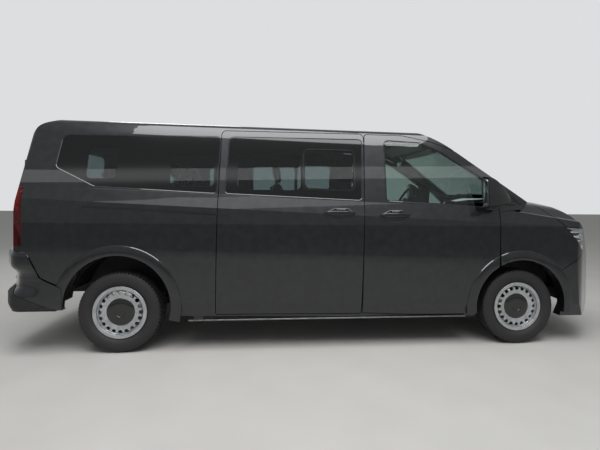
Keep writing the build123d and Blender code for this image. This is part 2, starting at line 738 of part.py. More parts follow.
# ---------------------------------------------------------------- wheels
def rim_shape(x):
    z = TYRE_R
    face = -RIM_W / 2
    rows = [
        (RIM_FLANGE_R, face, 2),
        (RIM_FLANGE_R, face + 12, 4),
        (RIM_SEAT_R, face + 16, 4),
        (RIM_SEAT_R, -face - 16, 4),
        (RIM_FLANGE_R, -face - 12, 4),
        (RIM_FLANGE_R, -face, 2),
        (RIM_SEAT_R - 12, -face, 3),
        (RIM_SEAT_R - 12, face + 60, 12),
        (RIM_DISC_R, face + 22, 20),
        (CAP_R, face + 34, 12),
        (CAP_R - 8, face + 58, 6),
        (HUB_R, face + 58, 2),
        (HUB_R, face + 44, 2),
        (CAP_R - 18, face + 30, 12),
        (RIM_DISC_R, face + 8, 20),
        (RIM_SEAT_R - 12, face + 40, 12),
        (RIM_SEAT_R - 12, face, 3),
    ]
    barrel = wheel_turned(rows, x, z)
    vents = []
    for i in range(VENT_COUNT):
        angle = 2 * math.pi * i / VENT_COUNT
        vx = x + VENT_RING_R * math.cos(angle)
        vz = z + VENT_RING_R * math.sin(angle)
        vents.append(rod((vx, -150, vz), (vx, 20, vz), VENT_R))
    barrel = barrel - Compound(vents)
    return one(barrel)


def tyre_shape(x):
    z = TYRE_R
    half = TYRE_W / 2
    rows = [
        (RIM_SEAT_R + FIT, -RIM_W / 2 + 17, 5),
        (RIM_FLANGE_R + 2, -RIM_W / 2 + 13.5, 4),
        (RIM_FLANGE_R + 25, -half, 30),
        (TYRE_R - 20, -half + 4, 30),
        (TYRE_R, -half + 26, 26),
        (TYRE_R, half - 26, 26),
        (TYRE_R - 20, half - 4, 30),
        (RIM_FLANGE_R + 25, half, 30),
        (RIM_FLANGE_R + 2, RIM_W / 2 - 13.5, 4),
        (RIM_SEAT_R + FIT, RIM_W / 2 - 17, 5),
    ]
    return wheel_turned(rows, x, z)


def knuckle_shape():
    """Steering upright and its spindle, right-hand side."""
    x = FRONT_AXLE_X
    spindle = rod((x, -WHEEL_Y + SPINDLE_TIP, TYRE_R), (x, -WHEEL_Y + 90, TYRE_R), SPINDLE_R)
    upright = block(x - 55, x + 55, -WHEEL_Y + 34, -WHEEL_Y + 86, STEER_ARM_Z + FIT, TYRE_R + 95)
    arm = block(x - 150, x - 40, -WHEEL_Y + 60, -WHEEL_Y + 86, TYRE_R - 30, TYRE_R)
    return spindle + upright + arm


wheel_rim = rim_shape(0)
wheel_hub = rod((0, HUB_OUT, TYRE_R), (0, HUB_IN, TYRE_R), HUB_R + 6)
wheel_hub = wheel_hub - rod((0, SPINDLE_TIP - FIT, TYRE_R), (0, HUB_IN + 5, TYRE_R), SPINDLE_R + FIT)
wheel_rim = one(wheel_rim + wheel_hub)
wheel_tyre = tyre_shape(0)
knuckle = one(knuckle_shape())

# ---------------------------------------------------------------- mirror, hinges and trim, right-hand side
mirror_rows = [(1392, 1212, 40), (1384, 1462, 50), (1500, 1440, 90), (1540, 1300, 90), (1520, 1212, 30)]
mirror = side_prism(mirror_rows, -MIRROR_OUT, -990)
mirror_arm = block(1400, 1515, -1010, -961, 1215, 1262)
mirror = one(mirror + (mirror_arm - cabin_outer))


def tail_pin(z):
    return TAIL_PIN_X + (z - TAIL_PIN_Z) * TAIL_LEAN


side_brackets = []
door_leaves = []
for z, leaf_y in TAIL_HINGES:
    x = tail_pin(z)
    low = (tail_pin(z - 46), -TAIL_PIN_Y, z - 46)
    high = (tail_pin(z + 46), -TAIL_PIN_Y, z + 46)
    plate = block(x, x + 95, -TAIL_PIN_Y - 16, -TAIL_PIN_Y - 2, z - 40, z + 40) - cabin_inner
    side_brackets.append(rod(low, high, HINGE_R) + plate)
    leaf = block(x - 6, x + 29, -TAIL_PIN_Y + 4, leaf_y, z - 30, z + 30)
    leaf = leaf + block(x + 26, x + 46, leaf_y - 21, leaf_y, z - 30, z + 30)
    low = (tail_pin(z - 96), -TAIL_PIN_Y, z - 96)
    high = (tail_pin(z + 96), -TAIL_PIN_Y, z + 96)
    door_leaves.append(leaf - rod(low, high, HINGE_R + FIT))

# ---------------------------------------------------------------- written pieces
def wheel_at(shape, x, side):
    placed = shape.moved(Location((x, -WHEEL_Y, 0)))
    return placed if side < 0 else mirrored(placed)


for side, end in ((-1, "right"), (1, "left")):
    for x, axle in ((FRONT_AXLE_X, "front"), (REAR_AXLE_X, "rear")):
        save("rim_" + axle + "_" + end, wheel_at(wheel_rim, x, side))
        save("tyre_" + axle + "_" + end, wheel_at(wheel_tyre, x, side))
    keep = (lambda shape: shape) if side < 0 else mirrored
    save("knuckle_" + end, keep(knuckle))
    save("front_door_" + end, keep(front_door))
    save("front_door_glass_" + end, keep(front_door_glass))
    save("mirror_" + end, keep(mirror))
    save("front_fender_" + end, keep(fender))
    save("rear_door_" + end, keep(one(rear_door + door_leaves[0] + door_leaves[1])))
    save("rear_door_glass_" + end, keep(rear_door_glass))
extras = side_brackets + [block(x - 40, x + 40, -JACK_Y - 15, -JACK_Y + 15, JACK_Z, top) for x, top in JACKS]
for extra in extras:
    side_with_door_hole = side_with_door_hole + extra
    plain_side = plain_side + extra
save("body_side_right", one(side_with_door_hole))
save("body_side_left", mirrored(one(plain_side)))
save("sliding_door_right", sliding_door)
save("sliding_door_glass", middle_glass)
save("side_glass", rear_side_glass, mirrored(rear_side_glass), mirrored(middle_glass))
save("quarter_lights", quarter_glass, mirrored(quarter_glass))
save("roof_panel", roof_panel)
save("windscreen", windscreen)
save("bonnet", bonnet)
save("cowl_panel", cowl_panel)
save("front_bumper", front_bumper)
save("upper_grille", grille)
save("lower_grille", lower_grille)
save("rear_bumper", rear_bumper)
save("headlamps", headlamp, mirrored(headlamp))
save("tail_lamps", tail_lamp, mirrored(tail_lamp))
save("floor_pan", floor_pan)
save("dashboard", dashboard)
save("steering_wheel", steering_wheel)
save("steering_column", steering_column)
save("driver_seat", driver_seat)
save("passenger_seat", passenger_seat)
save("second_row_seat", second_row)
save("third_row_seat", third_row)
save("engine_block", engine_block)
save("fuel_tank", fuel_tank)
save("exhaust", exhaust)
save("rear_rails", *rails)
save("front_subframe", subframe)
save("rear_axle", rear_axle)
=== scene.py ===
import json
import math

import bpy
from mathutils import Matrix, Vector


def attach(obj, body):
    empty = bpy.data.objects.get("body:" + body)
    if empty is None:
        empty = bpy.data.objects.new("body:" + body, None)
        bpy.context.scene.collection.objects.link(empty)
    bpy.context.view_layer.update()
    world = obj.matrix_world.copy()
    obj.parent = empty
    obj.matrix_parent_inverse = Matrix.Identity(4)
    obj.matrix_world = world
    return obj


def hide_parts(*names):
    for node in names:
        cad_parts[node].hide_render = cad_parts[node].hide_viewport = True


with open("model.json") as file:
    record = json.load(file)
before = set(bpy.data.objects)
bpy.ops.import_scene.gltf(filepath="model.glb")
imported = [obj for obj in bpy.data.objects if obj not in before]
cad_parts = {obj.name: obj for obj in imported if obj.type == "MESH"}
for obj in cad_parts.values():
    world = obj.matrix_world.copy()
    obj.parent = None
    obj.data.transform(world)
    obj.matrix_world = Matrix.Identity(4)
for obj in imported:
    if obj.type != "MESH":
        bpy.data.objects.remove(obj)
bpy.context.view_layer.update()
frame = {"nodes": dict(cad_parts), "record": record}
nodes = frame["nodes"]

# ---------------------------------------------------------------- sizes, metres
FRONT_AXLE = (1.765, 0.339)
REAR_AXLE = (-1.735, 0.339)
WHEEL_Y = 0.850
TYRE_R = 0.339
FRONT_ARCH = (1.765, 0.360, 0.415)
REAR_ARCH = (-1.735, 0.398, 0.428)
DOOR_FRONT_X = 1.557
ROOF_TOP = 1.978
FLOOR_TOP = 0.560

# body side corners: half width, height at mid length, rise toward the tail
SIDE = [
    (0.985, 0.405, 0.018),
    (1.004, 0.800, 0.030),
    (0.998, 1.180, 0.045),
    (0.964, 1.300, 0.040),
    (0.842, 1.850, 0.022),
    (0.800, 1.935, 0.012),
]


def skin(x, z):
    """Half width of the body side at a place in side view."""
    rows = [(y, height - rise * x) for y, height, rise in SIDE]
    for (y0, z0), (y1, z1) in zip(rows, rows[1:]):
        if z <= z1:
            share = (z - z0) / (z1 - z0)
            return y0 + (y1 - y0) * share
    return rows[-1][0]


# ---------------------------------------------------------------- material helpers
def linear(code):
    """sRGB hex to linear colour."""
    parts = [int(code[i:i + 2], 16) / 255 for i in (0, 2, 4)]
    flat = [c / 12.92 if c <= 0.04045 else ((c + 0.055) / 1.055) ** 2.4 for c in parts]
    return (*flat, 1.0)


def add(tree, kind, inputs=None, **settings):
    """Adds a node with its settings, values and links."""
    made = tree.nodes.new(kind)
    for key, value in settings.items():
        setattr(made, key, value)
    for key, value in (inputs or {}).items():
        if isinstance(value, bpy.types.NodeSocket):
            tree.links.new(value, made.inputs[key])
        else:
            made.inputs[key].default_value = value
    return made


def blank(name):
    made = bpy.data.materials.new(name)
    made.use_nodes = True
    made.node_tree.nodes.clear()
    return made, made.node_tree


def close(tree, shader):
    add(tree, "ShaderNodeOutputMaterial", {"Surface": shader.outputs[0]})


def grain(tree, size_mm, detail=2.0):
    """Noise whose cells are about size_mm across, on the object's own coordinates."""
    place = add(tree, "ShaderNodeTexCoord")
    return add(tree, "ShaderNodeTexNoise", {"Vector": place.outputs["Object"], "Scale": 1000 / size_mm,
                                            "Detail": detail})


def ramp(tree, source, low, high, first, last):
    made = add(tree, "ShaderNodeMapRange", {"Value": source, "From Min": low, "From Max": high,
                                            "To Min": first, "To Max": last})
    return made.outputs["Result"]


def tint(tree, share, first, last):
    made = add(tree, "ShaderNodeMix", {0: share, 6: linear(first), 7: linear(last)}, data_type="RGBA")
    return made.outputs[2]


def surface(name, first, last, size_mm, rough, bump_mm, metallic=0.0, coat=0.0, coat_rough=0.03,
            ior=1.5, sheen=0.0, bump_size=None):
    """Moulded, painted, cast or woven finish: two close tones, a roughness range and a fine relief."""
    made, tree = blank(name)
    tone = grain(tree, size_mm)
    relief = grain(tree, bump_size or size_mm, 3.0)
    bump = add(tree, "ShaderNodeBump", {"Height": relief.outputs["Fac"], "Strength": 0.6,
                                        "Distance": bump_mm / 1000})
    share = ramp(tree, tone.outputs["Fac"], 0.35, 0.65, 0.0, 1.0)
    shader = add(tree, "ShaderNodeBsdfPrincipled", {
        "Base Color": tint(tree, share, first, last),
        "Roughness": ramp(tree, tone.outputs["Fac"], 0.3, 0.7, rough[0], rough[1]),
        "Metallic": metallic, "Coat Weight": coat, "Coat Roughness": coat_rough, "IOR": ior,
        "Sheen Weight": sheen, "Normal": bump.outputs["Normal"]})
    close(tree, shader)
    return made


def opening(tree, x, z, half_x, half_z, radius):
    """1 inside a rounded rectangle in side view, 0 outside it."""
    place = add(tree, "ShaderNodeTexCoord")
    flat = add(tree, "ShaderNodeVectorMath", {0: place.outputs["Object"], 1: (1, 0, 1)},
               operation="MULTIPLY")
    moved = add(tree, "ShaderNodeVectorMath", {0: flat.outputs[0], 1: (x, 0, z)}, operation="SUBTRACT")
    size = add(tree, "ShaderNodeVectorMath", {0: moved.outputs[0]}, operation="ABSOLUTE")
    past = add(tree, "ShaderNodeVectorMath", {0: size.outputs[0], 1: (half_x - radius, 0, half_z - radius)},
               operation="SUBTRACT")
    held = add(tree, "ShaderNodeVectorMath", {0: past.outputs[0], 1: (0, 0, 0)}, operation="MAXIMUM")
    reach = add(tree, "ShaderNodeVectorMath", {0: held.outputs[0]}, operation="LENGTH")
    within = add(tree, "ShaderNodeMath", {0: reach.outputs["Value"], 1: radius}, operation="LESS_THAN")
    return within.outputs[0]


def glass(name, code, openings=(), rough=0.0):
    """Safety glass tinted in the mass, with black ceramic print fired on outside its clear openings."""
    made, tree = blank(name)
    clear = add(tree, "ShaderNodeBsdfPrincipled", {"Base Color": linear(code), "Transmission Weight": 1.0,
                                                   "Roughness": rough, "IOR": 1.45})
    shader = clear
    if openings:
        inside = None
        for row in openings:
            one = opening(tree, *row)
            if inside is None:
                inside = one
            else:
                inside = add(tree, "ShaderNodeMath", {0: inside, 1: one}, operation="MAXIMUM").outputs[0]
        print_black = add(tree, "ShaderNodeBsdfPrincipled", {
            "Base Color": linear("08090a"), "Roughness": 0.08, "IOR": 1.5})
        shader = add(tree, "ShaderNodeMixShader", {0: inside, 1: print_black.outputs[0], 2: clear.outputs[0]})
    close(tree, shader)
    return made


# ---------------------------------------------------------------- materials
# metallic lacquer on pressed steel: deep grey with flakes under a hard clear coat
paint = surface("metallic_lacquer", "15171a", "1b1e22", 60, (0.30, 0.36), 0.004, metallic=0.55, coat=1.0,
                coat_rough=0.02, bump_size=2.5)
# polypropylene, moulded with a fine leather grain: dull black that catches light at its edges
grained_black = surface("moulded_polypropylene", "141516", "1a1b1c", 30, (0.55, 0.68), 0.15, bump_size=1.6)
# ABS, moulded in a polished tool: deep black with sharp reflections
gloss_black = surface("polished_abs", "08090a", "0b0c0d", 50, (0.10, 0.16), 0.002, coat=0.6)
# polypropylene trim with a soft grain: mid grey that stays dull in the cabin
cabin_grey = surface("soft_moulded_trim", "2b2d30", "33363a", 24, (0.55, 0.7), 0.12, bump_size=1.8)
# silver paint on pressed steel: pale metal with broad, soft highlights
wheel_silver = surface("silver_wheel_paint", "a9acaf", "bcbfc1", 40, (0.28, 0.38), 0.01, metallic=0.75,
                       coat=0.4, bump_size=3)
# carbon-filled tyre rubber, vulcanised in a mould: near black, dusty and without gloss
rubber = surface("tyre_rubber", "1b1b1c", "262626", 18, (0.62, 0.8), 0.12, bump_size=2.2)
# flat near-black without gloss that reads as a shadow line: painted shade, standing in for the shadow in the
# sliding door's rail groove
painted_groove_shade = surface("painted_groove_shade", "050506", "080809", 20, (0.8, 0.9), 0.05)
# wax sprayed over the underbody steel: uneven black with a faint shine
underbody = surface("waxed_underbody", "101112", "181a1b", 90, (0.5, 0.7), 0.2, bump_size=5)
# sand-cast iron: dark grey, rough and barely metallic to the eye
cast = surface("cast_iron", "4a4b4c", "5b5c5d", 30, (0.5, 0.7), 0.3, metallic=0.9, bump_size=3)
# drawn stainless steel: grey metal with a drawn-out sheen
steel = surface("stainless_tube", "77787a", "8d8e90", 40, (0.28, 0.42), 0.02, metallic=1.0, bump_size=4)
# vacuum-metallised plastic: mirror-like pale silver
chrome = surface("chromed_reflector", "d6d8da", "dee0e2", 60, (0.05, 0.1), 0.001, metallic=1.0)
# polyester seat fabric, woven: matt dark cloth with a slight sheen at grazing angles; threads are drawn at
# 2.2 mm, about twice their real spacing, so that they show
fabric = surface("woven_seat_fabric", "17191c", "2a2d31", 2.2, (0.8, 0.95), 0.35, sheen=0.35, bump_size=2.2)
# red moulded reflector: deep red with small bright facets
red_inner = surface("red_reflector", "7c0b12", "920f17", 9, (0.18, 0.3), 0.2, coat=0.5, bump_size=4)
# frosted acrylic light guide, unlit: cool white and softly glossy
light_guide = surface("light_guide", "dfe6ec", "e8eef2", 20, (0.15, 0.25), 0.01, coat=0.5)
# blank aluminium plate, lacquered: pale grey, satin
plate_white = surface("bare_plate_holder", "9a9b9c", "a4a5a6", 30, (0.4, 0.5), 0.02)

# clear openings in the ceramic print: centre x, centre z, half width, half height, corner radius
REAR_LIGHT = (-1.886, 1.590, 0.118, 0.130, 0.035)
SHELF_LIGHT = (-1.150, 1.540, 0.180, 0.138, 0.045)
SLIDE_LIGHT = (0.020, 1.565, 0.212, 0.168, 0.050)
FIXED_LIGHT = (-0.500, 1.545, 0.270, 0.165, 0.050)
# laminated and toughened glass: faint green tint, sharp reflections
clear_glass = glass("tinted_safety_glass", "a3b3ae")
# privacy glass, tinted in the mass: grey-green, with black print round its clear openings
privacy_glass = glass("privacy_glass", "919f9f", (REAR_LIGHT, SHELF_LIGHT, SLIDE_LIGHT, FIXED_LIGHT))
tail_glass = glass("privacy_tail_glass", "8f9a9c")
# hard-coated polycarbonate and acrylic, injection moulded: clear and deep red lamp covers
lens = glass("polycarbonate_lens", "f4f7f8")
red_lens = glass("red_acrylic_lens", "b3141f", rough=0.02)

FINISH = {
    "body_paint": paint, "black_plastic": grained_black, "gloss_black": gloss_black,
    "grey_plastic": cabin_grey,
    "clear_glass": clear_glass, "privacy_glass": privacy_glass, "lamp_glass": lens, "red_lens": red_lens,
    "seat_fabric": fabric, "wheel_steel": wheel_silver, "tyre_rubber": rubber, "chassis_black": underbody,
    "cast_metal": cast, "bare_steel": steel,
}
for entry in frame["record"]["subparts"]:
    own = nodes[entry["node"]].data.materials
    own.clear()
    own.append(FINISH[entry["material_slot"]])
for name in ("rear_door_glass_left", "rear_door_glass_right"):
    nodes[name].data.materials[0] = tail_glass


# ---------------------------------------------------------------- modelling helpers
MERGE = 1e-5


def put_down():
    if bpy.context.object and bpy.context.object.mode != "OBJECT":
        bpy.ops.object.mode_set(mode="OBJECT")
    bpy.ops.object.select_all(action="DESELECT")


def take(piece):
    put_down()
    piece.select_set(True)
    bpy.context.view_layer.objects.active = piece


def choose(piece, test):
    """Selects the faces whose centre and normal pass a test, and nothing else."""
    take(piece)
    mesh = piece.data
    for item in list(mesh.vertices) + list(mesh.edges):
        item.select = False
    for face in mesh.polygons:
        face.select = bool(test(face.center, face.normal))


def edit(piece, *steps):
    """Runs edit-mode steps on the chosen faces."""
    bpy.context.view_layer.objects.active = piece
    bpy.ops.object.mode_set(mode="EDIT")
    bpy.ops.mesh.select_mode(type="FACE")
    for step in steps:
        step()
    bpy.ops.object.mode_set(mode="OBJECT")


def edit_all(piece, *steps):
    """Runs edit-mode steps on the whole piece."""
    take(piece)
    bpy.ops.object.mode_set(mode="EDIT")
    bpy.ops.mesh.select_all(action="SELECT")
    for step in steps:
        step()
    bpy.ops.object.mode_set(mode="OBJECT")


def settle(piece):
    """Object at the origin, its place in its mesh, faces pointing outwards."""
    take(piece)
    bpy.ops.object.transform_apply(location=True, rotation=True, scale=True)
    edit_all(piece, lambda: bpy.ops.mesh.remove_doubles(threshold=MERGE),
             lambda: bpy.ops.mesh.normals_make_consistent(inside=False))


def modify(piece, kind, **settings):
    take(piece)
    made = piece.modifiers.new(kind.lower(), kind)
    for key, value in settings.items():
        setattr(made, key, value)
    bpy.ops.object.modifier_apply(modifier=made.name)


def smooth(piece, degrees=35):
    take(piece)
    bpy.ops.object.shade_smooth_by_angle(angle=math.radians(degrees))


def dress(piece, finish, body, degrees=35):
    piece.data.materials.clear()
    piece.data.materials.append(finish)
    smooth(piece, degrees)
    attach(piece, body)
    return piece


def block(name, low, high, bevel=0.0, segments=3):
    """A box between two corners with its edges rounded."""
    put_down()
    middle = [(a + b) / 2 for a, b in zip(low, high)]
    bpy.ops.mesh.primitive_cube_add(size=1, location=middle)
    piece = bpy.context.object
    piece.name = name
    piece.scale = [abs(b - a) for a, b in zip(low, high)]
    settle(piece)
    if bevel:
        modify(piece, "BEVEL", width=bevel, segments=segments, limit_method="ANGLE")
    return piece


def rounded(rows, steps=5):
    """Points round a polygon of (a, b, radius) rows; each corner gives the same number of points."""
    points = []
    for i, (a, b, radius) in enumerate(rows):
        here = Vector((a, b))
        back = Vector(rows[i - 1][:2]) - here
        ahead = Vector(rows[(i + 1) % len(rows)][:2]) - here
        half = back.angle(ahead) / 2
        reach = min(radius / math.tan(half), 0.49 * back.length, 0.49 * ahead.length)
        start = here + back.normalized() * reach
        end = here + ahead.normalized() * reach
        for step in range(steps):
            t = step / (steps - 1)
            points.append(start * (1 - t) ** 2 + here * 2 * t * (1 - t) + end * t ** 2)
    return points


def slab(name, points, way, bevel=0.0, segments=2):
    """A flat outline of 3-D points, extruded along a vector, with its edges rounded."""
    put_down()
    bpy.ops.mesh.primitive_circle_add(vertices=len(points), fill_type="NGON")
    piece = bpy.context.object
    piece.name = name
    for vertex, point in zip(piece.data.vertices, points):
        vertex.co = point
    edit_all(piece, lambda: bpy.ops.mesh.extrude_region_move(TRANSFORM_OT_translate={"value": way}))
    settle(piece)
    if bevel:
        modify(piece, "BEVEL", width=bevel, segments=segments, limit_method="ANGLE",
               angle_limit=math.radians(50))
    return piece


def band(name, outer, inner, thickness):
    """A closed band between two outlines of as many points, given a thickness."""
    put_down()
    bpy.ops.mesh.primitive_circle_add(vertices=len(outer))
    piece = bpy.context.object
    piece.name = name
    for vertex, point in zip(piece.data.vertices, outer):
        vertex.co = point
    edit_all(piece, lambda: bpy.ops.mesh.extrude_edges_move())
    count = len(outer)
    first = [vertex.co.copy() for vertex in piece.data.vertices[:count]]
    for vertex in piece.data.vertices[count:]:
        nearest = min(range(count), key=lambda i: (first[i] - vertex.co).length)
        vertex.co = inner[nearest]
    modify(piece, "SOLIDIFY", thickness=thickness, offset=0)
    settle(piece)
    return piece


def cut_away(piece, place, normal, fill=False):
    """Removes what lies on the side of a plane that its normal points to."""
    edit_all(piece, lambda: bpy.ops.mesh.bisect(plane_co=place, plane_no=normal, clear_outer=True,
                                                use_fill=fill))


def trimmed(piece, place, normal):
    """Cuts a closed piece with a plane and closes the cut."""
    cut_away(piece, place, normal, True)
    settle(piece)
    return piece


def fresh_copy(source, name):
    """A copy with its own mesh, free of what its source carries."""
    put_down()
    piece = source.copy()
    piece.data = source.data.copy()
    for key in list(piece.keys()):
        del piece[key]
    piece.parent = None
    piece.matrix_world = Matrix.Identity(4)
    piece.name = name
    bpy.context.scene.collection.objects.link(piece)
    return piece


def shell_of(name, node, facing, keep, thickness, offset, cuts=()):
    """A shell over the outer face of a CAD solid, trimmed by planes."""
    piece = fresh_copy(nodes[node], name)
    piece.hide_render = False
    piece.hide_viewport = False
    edit_all(piece, lambda: bpy.ops.mesh.remove_doubles(threshold=MERGE),
             bpy.ops.mesh.customdata_custom_splitnormals_clear)
    way = Vector(facing).normalized()
    choose(piece, lambda centre, normal: normal.dot(way) < keep)
    edit(piece, lambda: bpy.ops.mesh.delete(type="FACE"))
    for place, normal in cuts:
        cut_away(piece, place, normal)
    if offset:
        shift = [Vector(vertex.normal) * offset for vertex in piece.data.vertices]
        for vertex, step in zip(piece.data.vertices, shift):
            vertex.co += step
    modify(piece, "SOLIDIFY", thickness=thickness, offset=-1)
    return piece


def other_side(piece, name):
    """The same piece on the left, as its own mesh."""
    twin = fresh_copy(piece, name)
    for vertex in twin.data.vertices:
        vertex.co.y = -vertex.co.y
    twin.data.flip_normals()
    return twin


def both(piece, finish, body, degrees=35):
    """Dresses a right-hand piece and its left-hand twin; body names take the side's ending."""
    stem = piece.name
    piece.name = stem + "_right"
    twin = other_side(piece, stem + "_left")
    for made, side in ((piece, "right"), (twin, "left")):
        dress(made, finish, body.replace("SIDE", side), degrees)
    return piece, twin


def join(name, pieces):
    put_down()
    for piece in pieces:
        piece.select_set(True)
    bpy.context.view_layer.objects.active = pieces[0]
    bpy.ops.object.join()
    made = bpy.context.object
    made.name = name
    return made


# ---------------------------------------------------------------- camera, light and floor
PICTURE_PX = 600
LENS_PX = 400
SHIFT_PX = (-19, -22)
SENSOR_MM = 36
EYE = Vector((-0.385, -4.41, 1.32))
YAW = math.radians(5.2)
PITCH = math.radians(0.8)
ROLL = math.radians(-0.56)
ahead = Vector((math.sin(YAW) * math.cos(PITCH), math.cos(YAW) * math.cos(PITCH), -math.sin(PITCH)))
across = Vector((math.cos(YAW), -math.sin(YAW), 0))
upward = across.cross(ahead)
turn = Matrix.Rotation(ROLL, 3, ahead)
across = turn @ across
upward = turn @ upward
basis = Matrix((across, upward, -ahead)).transposed().to_4x4()
view_data = bpy.data.cameras.new("main_view")
view_data.sensor_width = SENSOR_MM
view_data.lens = LENS_PX / PICTURE_PX * SENSOR_MM
view_data.shift_x = SHIFT_PX[0] / PICTURE_PX
view_data.shift_y = SHIFT_PX[1] / PICTURE_PX
view = bpy.data.objects.new("main_view", view_data)
view.matrix_world = Matrix.Translation(EYE) @ basis
bpy.context.scene.collection.objects.link(view)
bpy.context.scene.camera = view

# sealed concrete, painted: pale warm grey without gloss
FLOOR_SIZE = 60
floor_finish, tree = blank("pale_studio_floor")
floor_tone = grain(tree, 400)
close(tree, add(tree, "ShaderNodeBsdfPrincipled", {
    "Base Color": tint(tree, floor_tone.outputs["Fac"], "a9a8a5", "b4b3b0"), "Roughness": 0.75}))
put_down()
bpy.ops.mesh.primitive_plane_add(size=FLOOR_SIZE)
floor = bpy.context.object
floor.name = "studio_floor"
floor.data.materials.append(floor_finish)

# strength of the backdrop on the object, and as seen directly or through glass
WORLD_LIGHT = 0.42
WORLD_SEEN = 0.84
world = bpy.data.worlds.new("studio")
bpy.context.scene.world = world
world.use_nodes = True
sky = world.node_tree
sky.nodes.clear()
rays = add(sky, "ShaderNodeLightPath")
seen = add(sky, "ShaderNodeMath", {0: rays.outputs["Is Camera Ray"], 1: rays.outputs["Is Transmission Ray"]},
           operation="MAXIMUM")
strength = ramp(sky, seen.outputs[0], 0, 1, WORLD_LIGHT, WORLD_SEEN)
backdrop = add(sky, "ShaderNodeBackground", {"Color": (0.86, 0.87, 0.88, 1), "Strength": strength})
add(sky, "ShaderNodeOutputWorld", {"Surface": backdrop.outputs[0]})

# name, place, aim, length, height, watts
LAMPS = [
    ("overhead_softbox", (-0.2, -3.2, 6.0), (0, 0.2, 0.8), 6.0, 4.5, 520),
    ("belt_softbox", (0.0, -5.2, 3.87), (0.0, 0, 1.2), 13.0, 0.25, 13),
    ("far_softbox", (-3.0, 5.5, 4.5), (0, 0, 1.0), 3.0, 3.0, 130),
]
for name, place, aim, length, height, power in LAMPS:
    data = bpy.data.lights.new(name, "AREA")
    data.shape = "RECTANGLE"
    data.size = length
    data.size_y = height
    data.energy = power
    lamp = bpy.data.objects.new(name, data)
    lamp.location = place
    lamp.rotation_euler = (Vector(aim) - Vector(place)).to_track_quat("-Z", "Y").to_euler()
    bpy.context.scene.collection.objects.link(lamp)

bpy.context.scene.view_settings.view_transform = "Standard"


# ---------------------------------------------------------------- wheels
# half section of the tyre: radius, distance from the centre plane
SIDEWALL = [
    (0.206, 0.000), (0.206, 0.050), (0.209, 0.073), (0.221, 0.078), (0.231, 0.090), (0.246, 0.1005),
    (0.262, 0.1060), (0.284, 0.1075), (0.303, 0.1050), (0.316, 0.1005), (0.326, 0.0950), (0.333, 0.0870),
]
# the tread's edge, then both edges of its outer and inner ring groove, as distances from the centre plane
TREAD_EDGE = 0.080
OUTER_GROOVE = (0.051, 0.060)
INNER_GROOVE = (0.015, 0.024)
TREAD = [TREAD_EDGE, OUTER_GROOVE[1], OUTER_GROOVE[0], INNER_GROOVE[1], INNER_GROOVE[0]]
TREAD_CROWN = 0.006
TREAD_FROM_R = 0.322
TREAD_PITCH = 3
GROOVE_DEPTH = 0.006
AROUND = 198


def tread_radius(y):
    return TYRE_R - TREAD_CROWN * (y / TREAD_EDGE) ** 2


def tyre(name, axle, side):
    half = SIDEWALL + [(tread_radius(y), y) for y in TREAD]
    section = half + [(r, -y) for r, y in reversed(half[1:])]
    count = len(section)
    put_down()
    bpy.ops.mesh.primitive_torus_add(major_segments=AROUND, minor_segments=count, major_radius=1,
                                     minor_radius=0.3)
    piece = bpy.context.object
    piece.name = name
    for i, vertex in enumerate(piece.data.vertices):
        turn_of = 2 * math.pi * (i // count) / AROUND
        r, y = section[i % count]
        vertex.co = (axle[0] + r * math.cos(turn_of), side * WHEEL_Y + y, axle[1] + r * math.sin(turn_of))
    settle(piece)

    def groove(centre, normal):
        out = math.hypot(centre.x - axle[0], centre.z - axle[1])
        y = abs(centre.y - side * WHEEL_Y)
        if out < TREAD_FROM_R:
            return False
        angle = math.atan2(centre.z - axle[1], centre.x - axle[0]) % (2 * math.pi)
        cell = int(angle / (2 * math.pi) * AROUND)
        ring = OUTER_GROOVE[0] < y < OUTER_GROOVE[1] or INNER_GROOVE[0] < y < INNER_GROOVE[1]
        lateral = cell % TREAD_PITCH == 0 and y > OUTER_GROOVE[1]
        sipe = cell % TREAD_PITCH == 1 and INNER_GROOVE[1] < y < OUTER_GROOVE[0]
        return ring or lateral or sipe

    choose(piece, groove)
    edit(piece, lambda: bpy.ops.mesh.inset(thickness=0.0008, depth=-GROOVE_DEPTH))
    return piece


CAP_R = 0.116
CAP_DEEP = 0.034
CAP_OUT = 0.050
RIB_OUT = 0.068
RIBS = 5


def hub_cap(name, axle, side):
    """Stepped black cap over the wheel's hub, with short ribs round its middle."""
    put_down()
    bpy.ops.mesh.primitive_cylinder_add(vertices=60, radius=CAP_R, depth=CAP_DEEP,
                                        location=(axle[0], side * (WHEEL_Y + CAP_OUT), axle[1]),
                                        rotation=(math.pi / 2, 0, 0))
    cap = bpy.context.object
    cap.name = name
    settle(cap)
    choose(cap, lambda centre, normal: normal.y * side > 0.9)
    edit(cap, lambda: bpy.ops.mesh.inset(thickness=0.010, depth=0.005),
         lambda: bpy.ops.mesh.inset(thickness=0.062, depth=0.002),
         lambda: bpy.ops.mesh.inset(thickness=0.004, depth=-0.004))
    modify(cap, "BEVEL", width=0.002, segments=3, limit_method="ANGLE")
    ribs = [cap]
    for i in range(RIBS):
        angle = 2 * math.pi * (i + 0.25) / RIBS
        rib = block("rib", (0.045, -0.0035, -0.006), (0.088, 0.0035, 0.006), 0.003)
        rib.matrix_world = (Matrix.Translation((axle[0], side * (WHEEL_Y + RIB_OUT), axle[1]))
                            @ Matrix.Rotation(-angle, 4, "Y"))
        settle(rib)
        ribs.append(rib)
    return join(name, ribs)


for axle, place in (("front", FRONT_AXLE), ("rear", REAR_AXLE)):
    for side, end in ((-1, "right"), (1, "left")):
        corner = axle + "_" + end
        made = tyre("tread_tyre_" + corner, place, side)
        dress(made, rubber, "wheel_" + corner, 40)
        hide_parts("tyre_" + corner)
        dress(hub_cap("hub_cap_" + corner, place, side), gloss_black, "wheel_" + corner)

# ---------------------------------------------------------------- flared arch lips
FLARE_OUT = 0.014
FLARE_REACH = 0.085


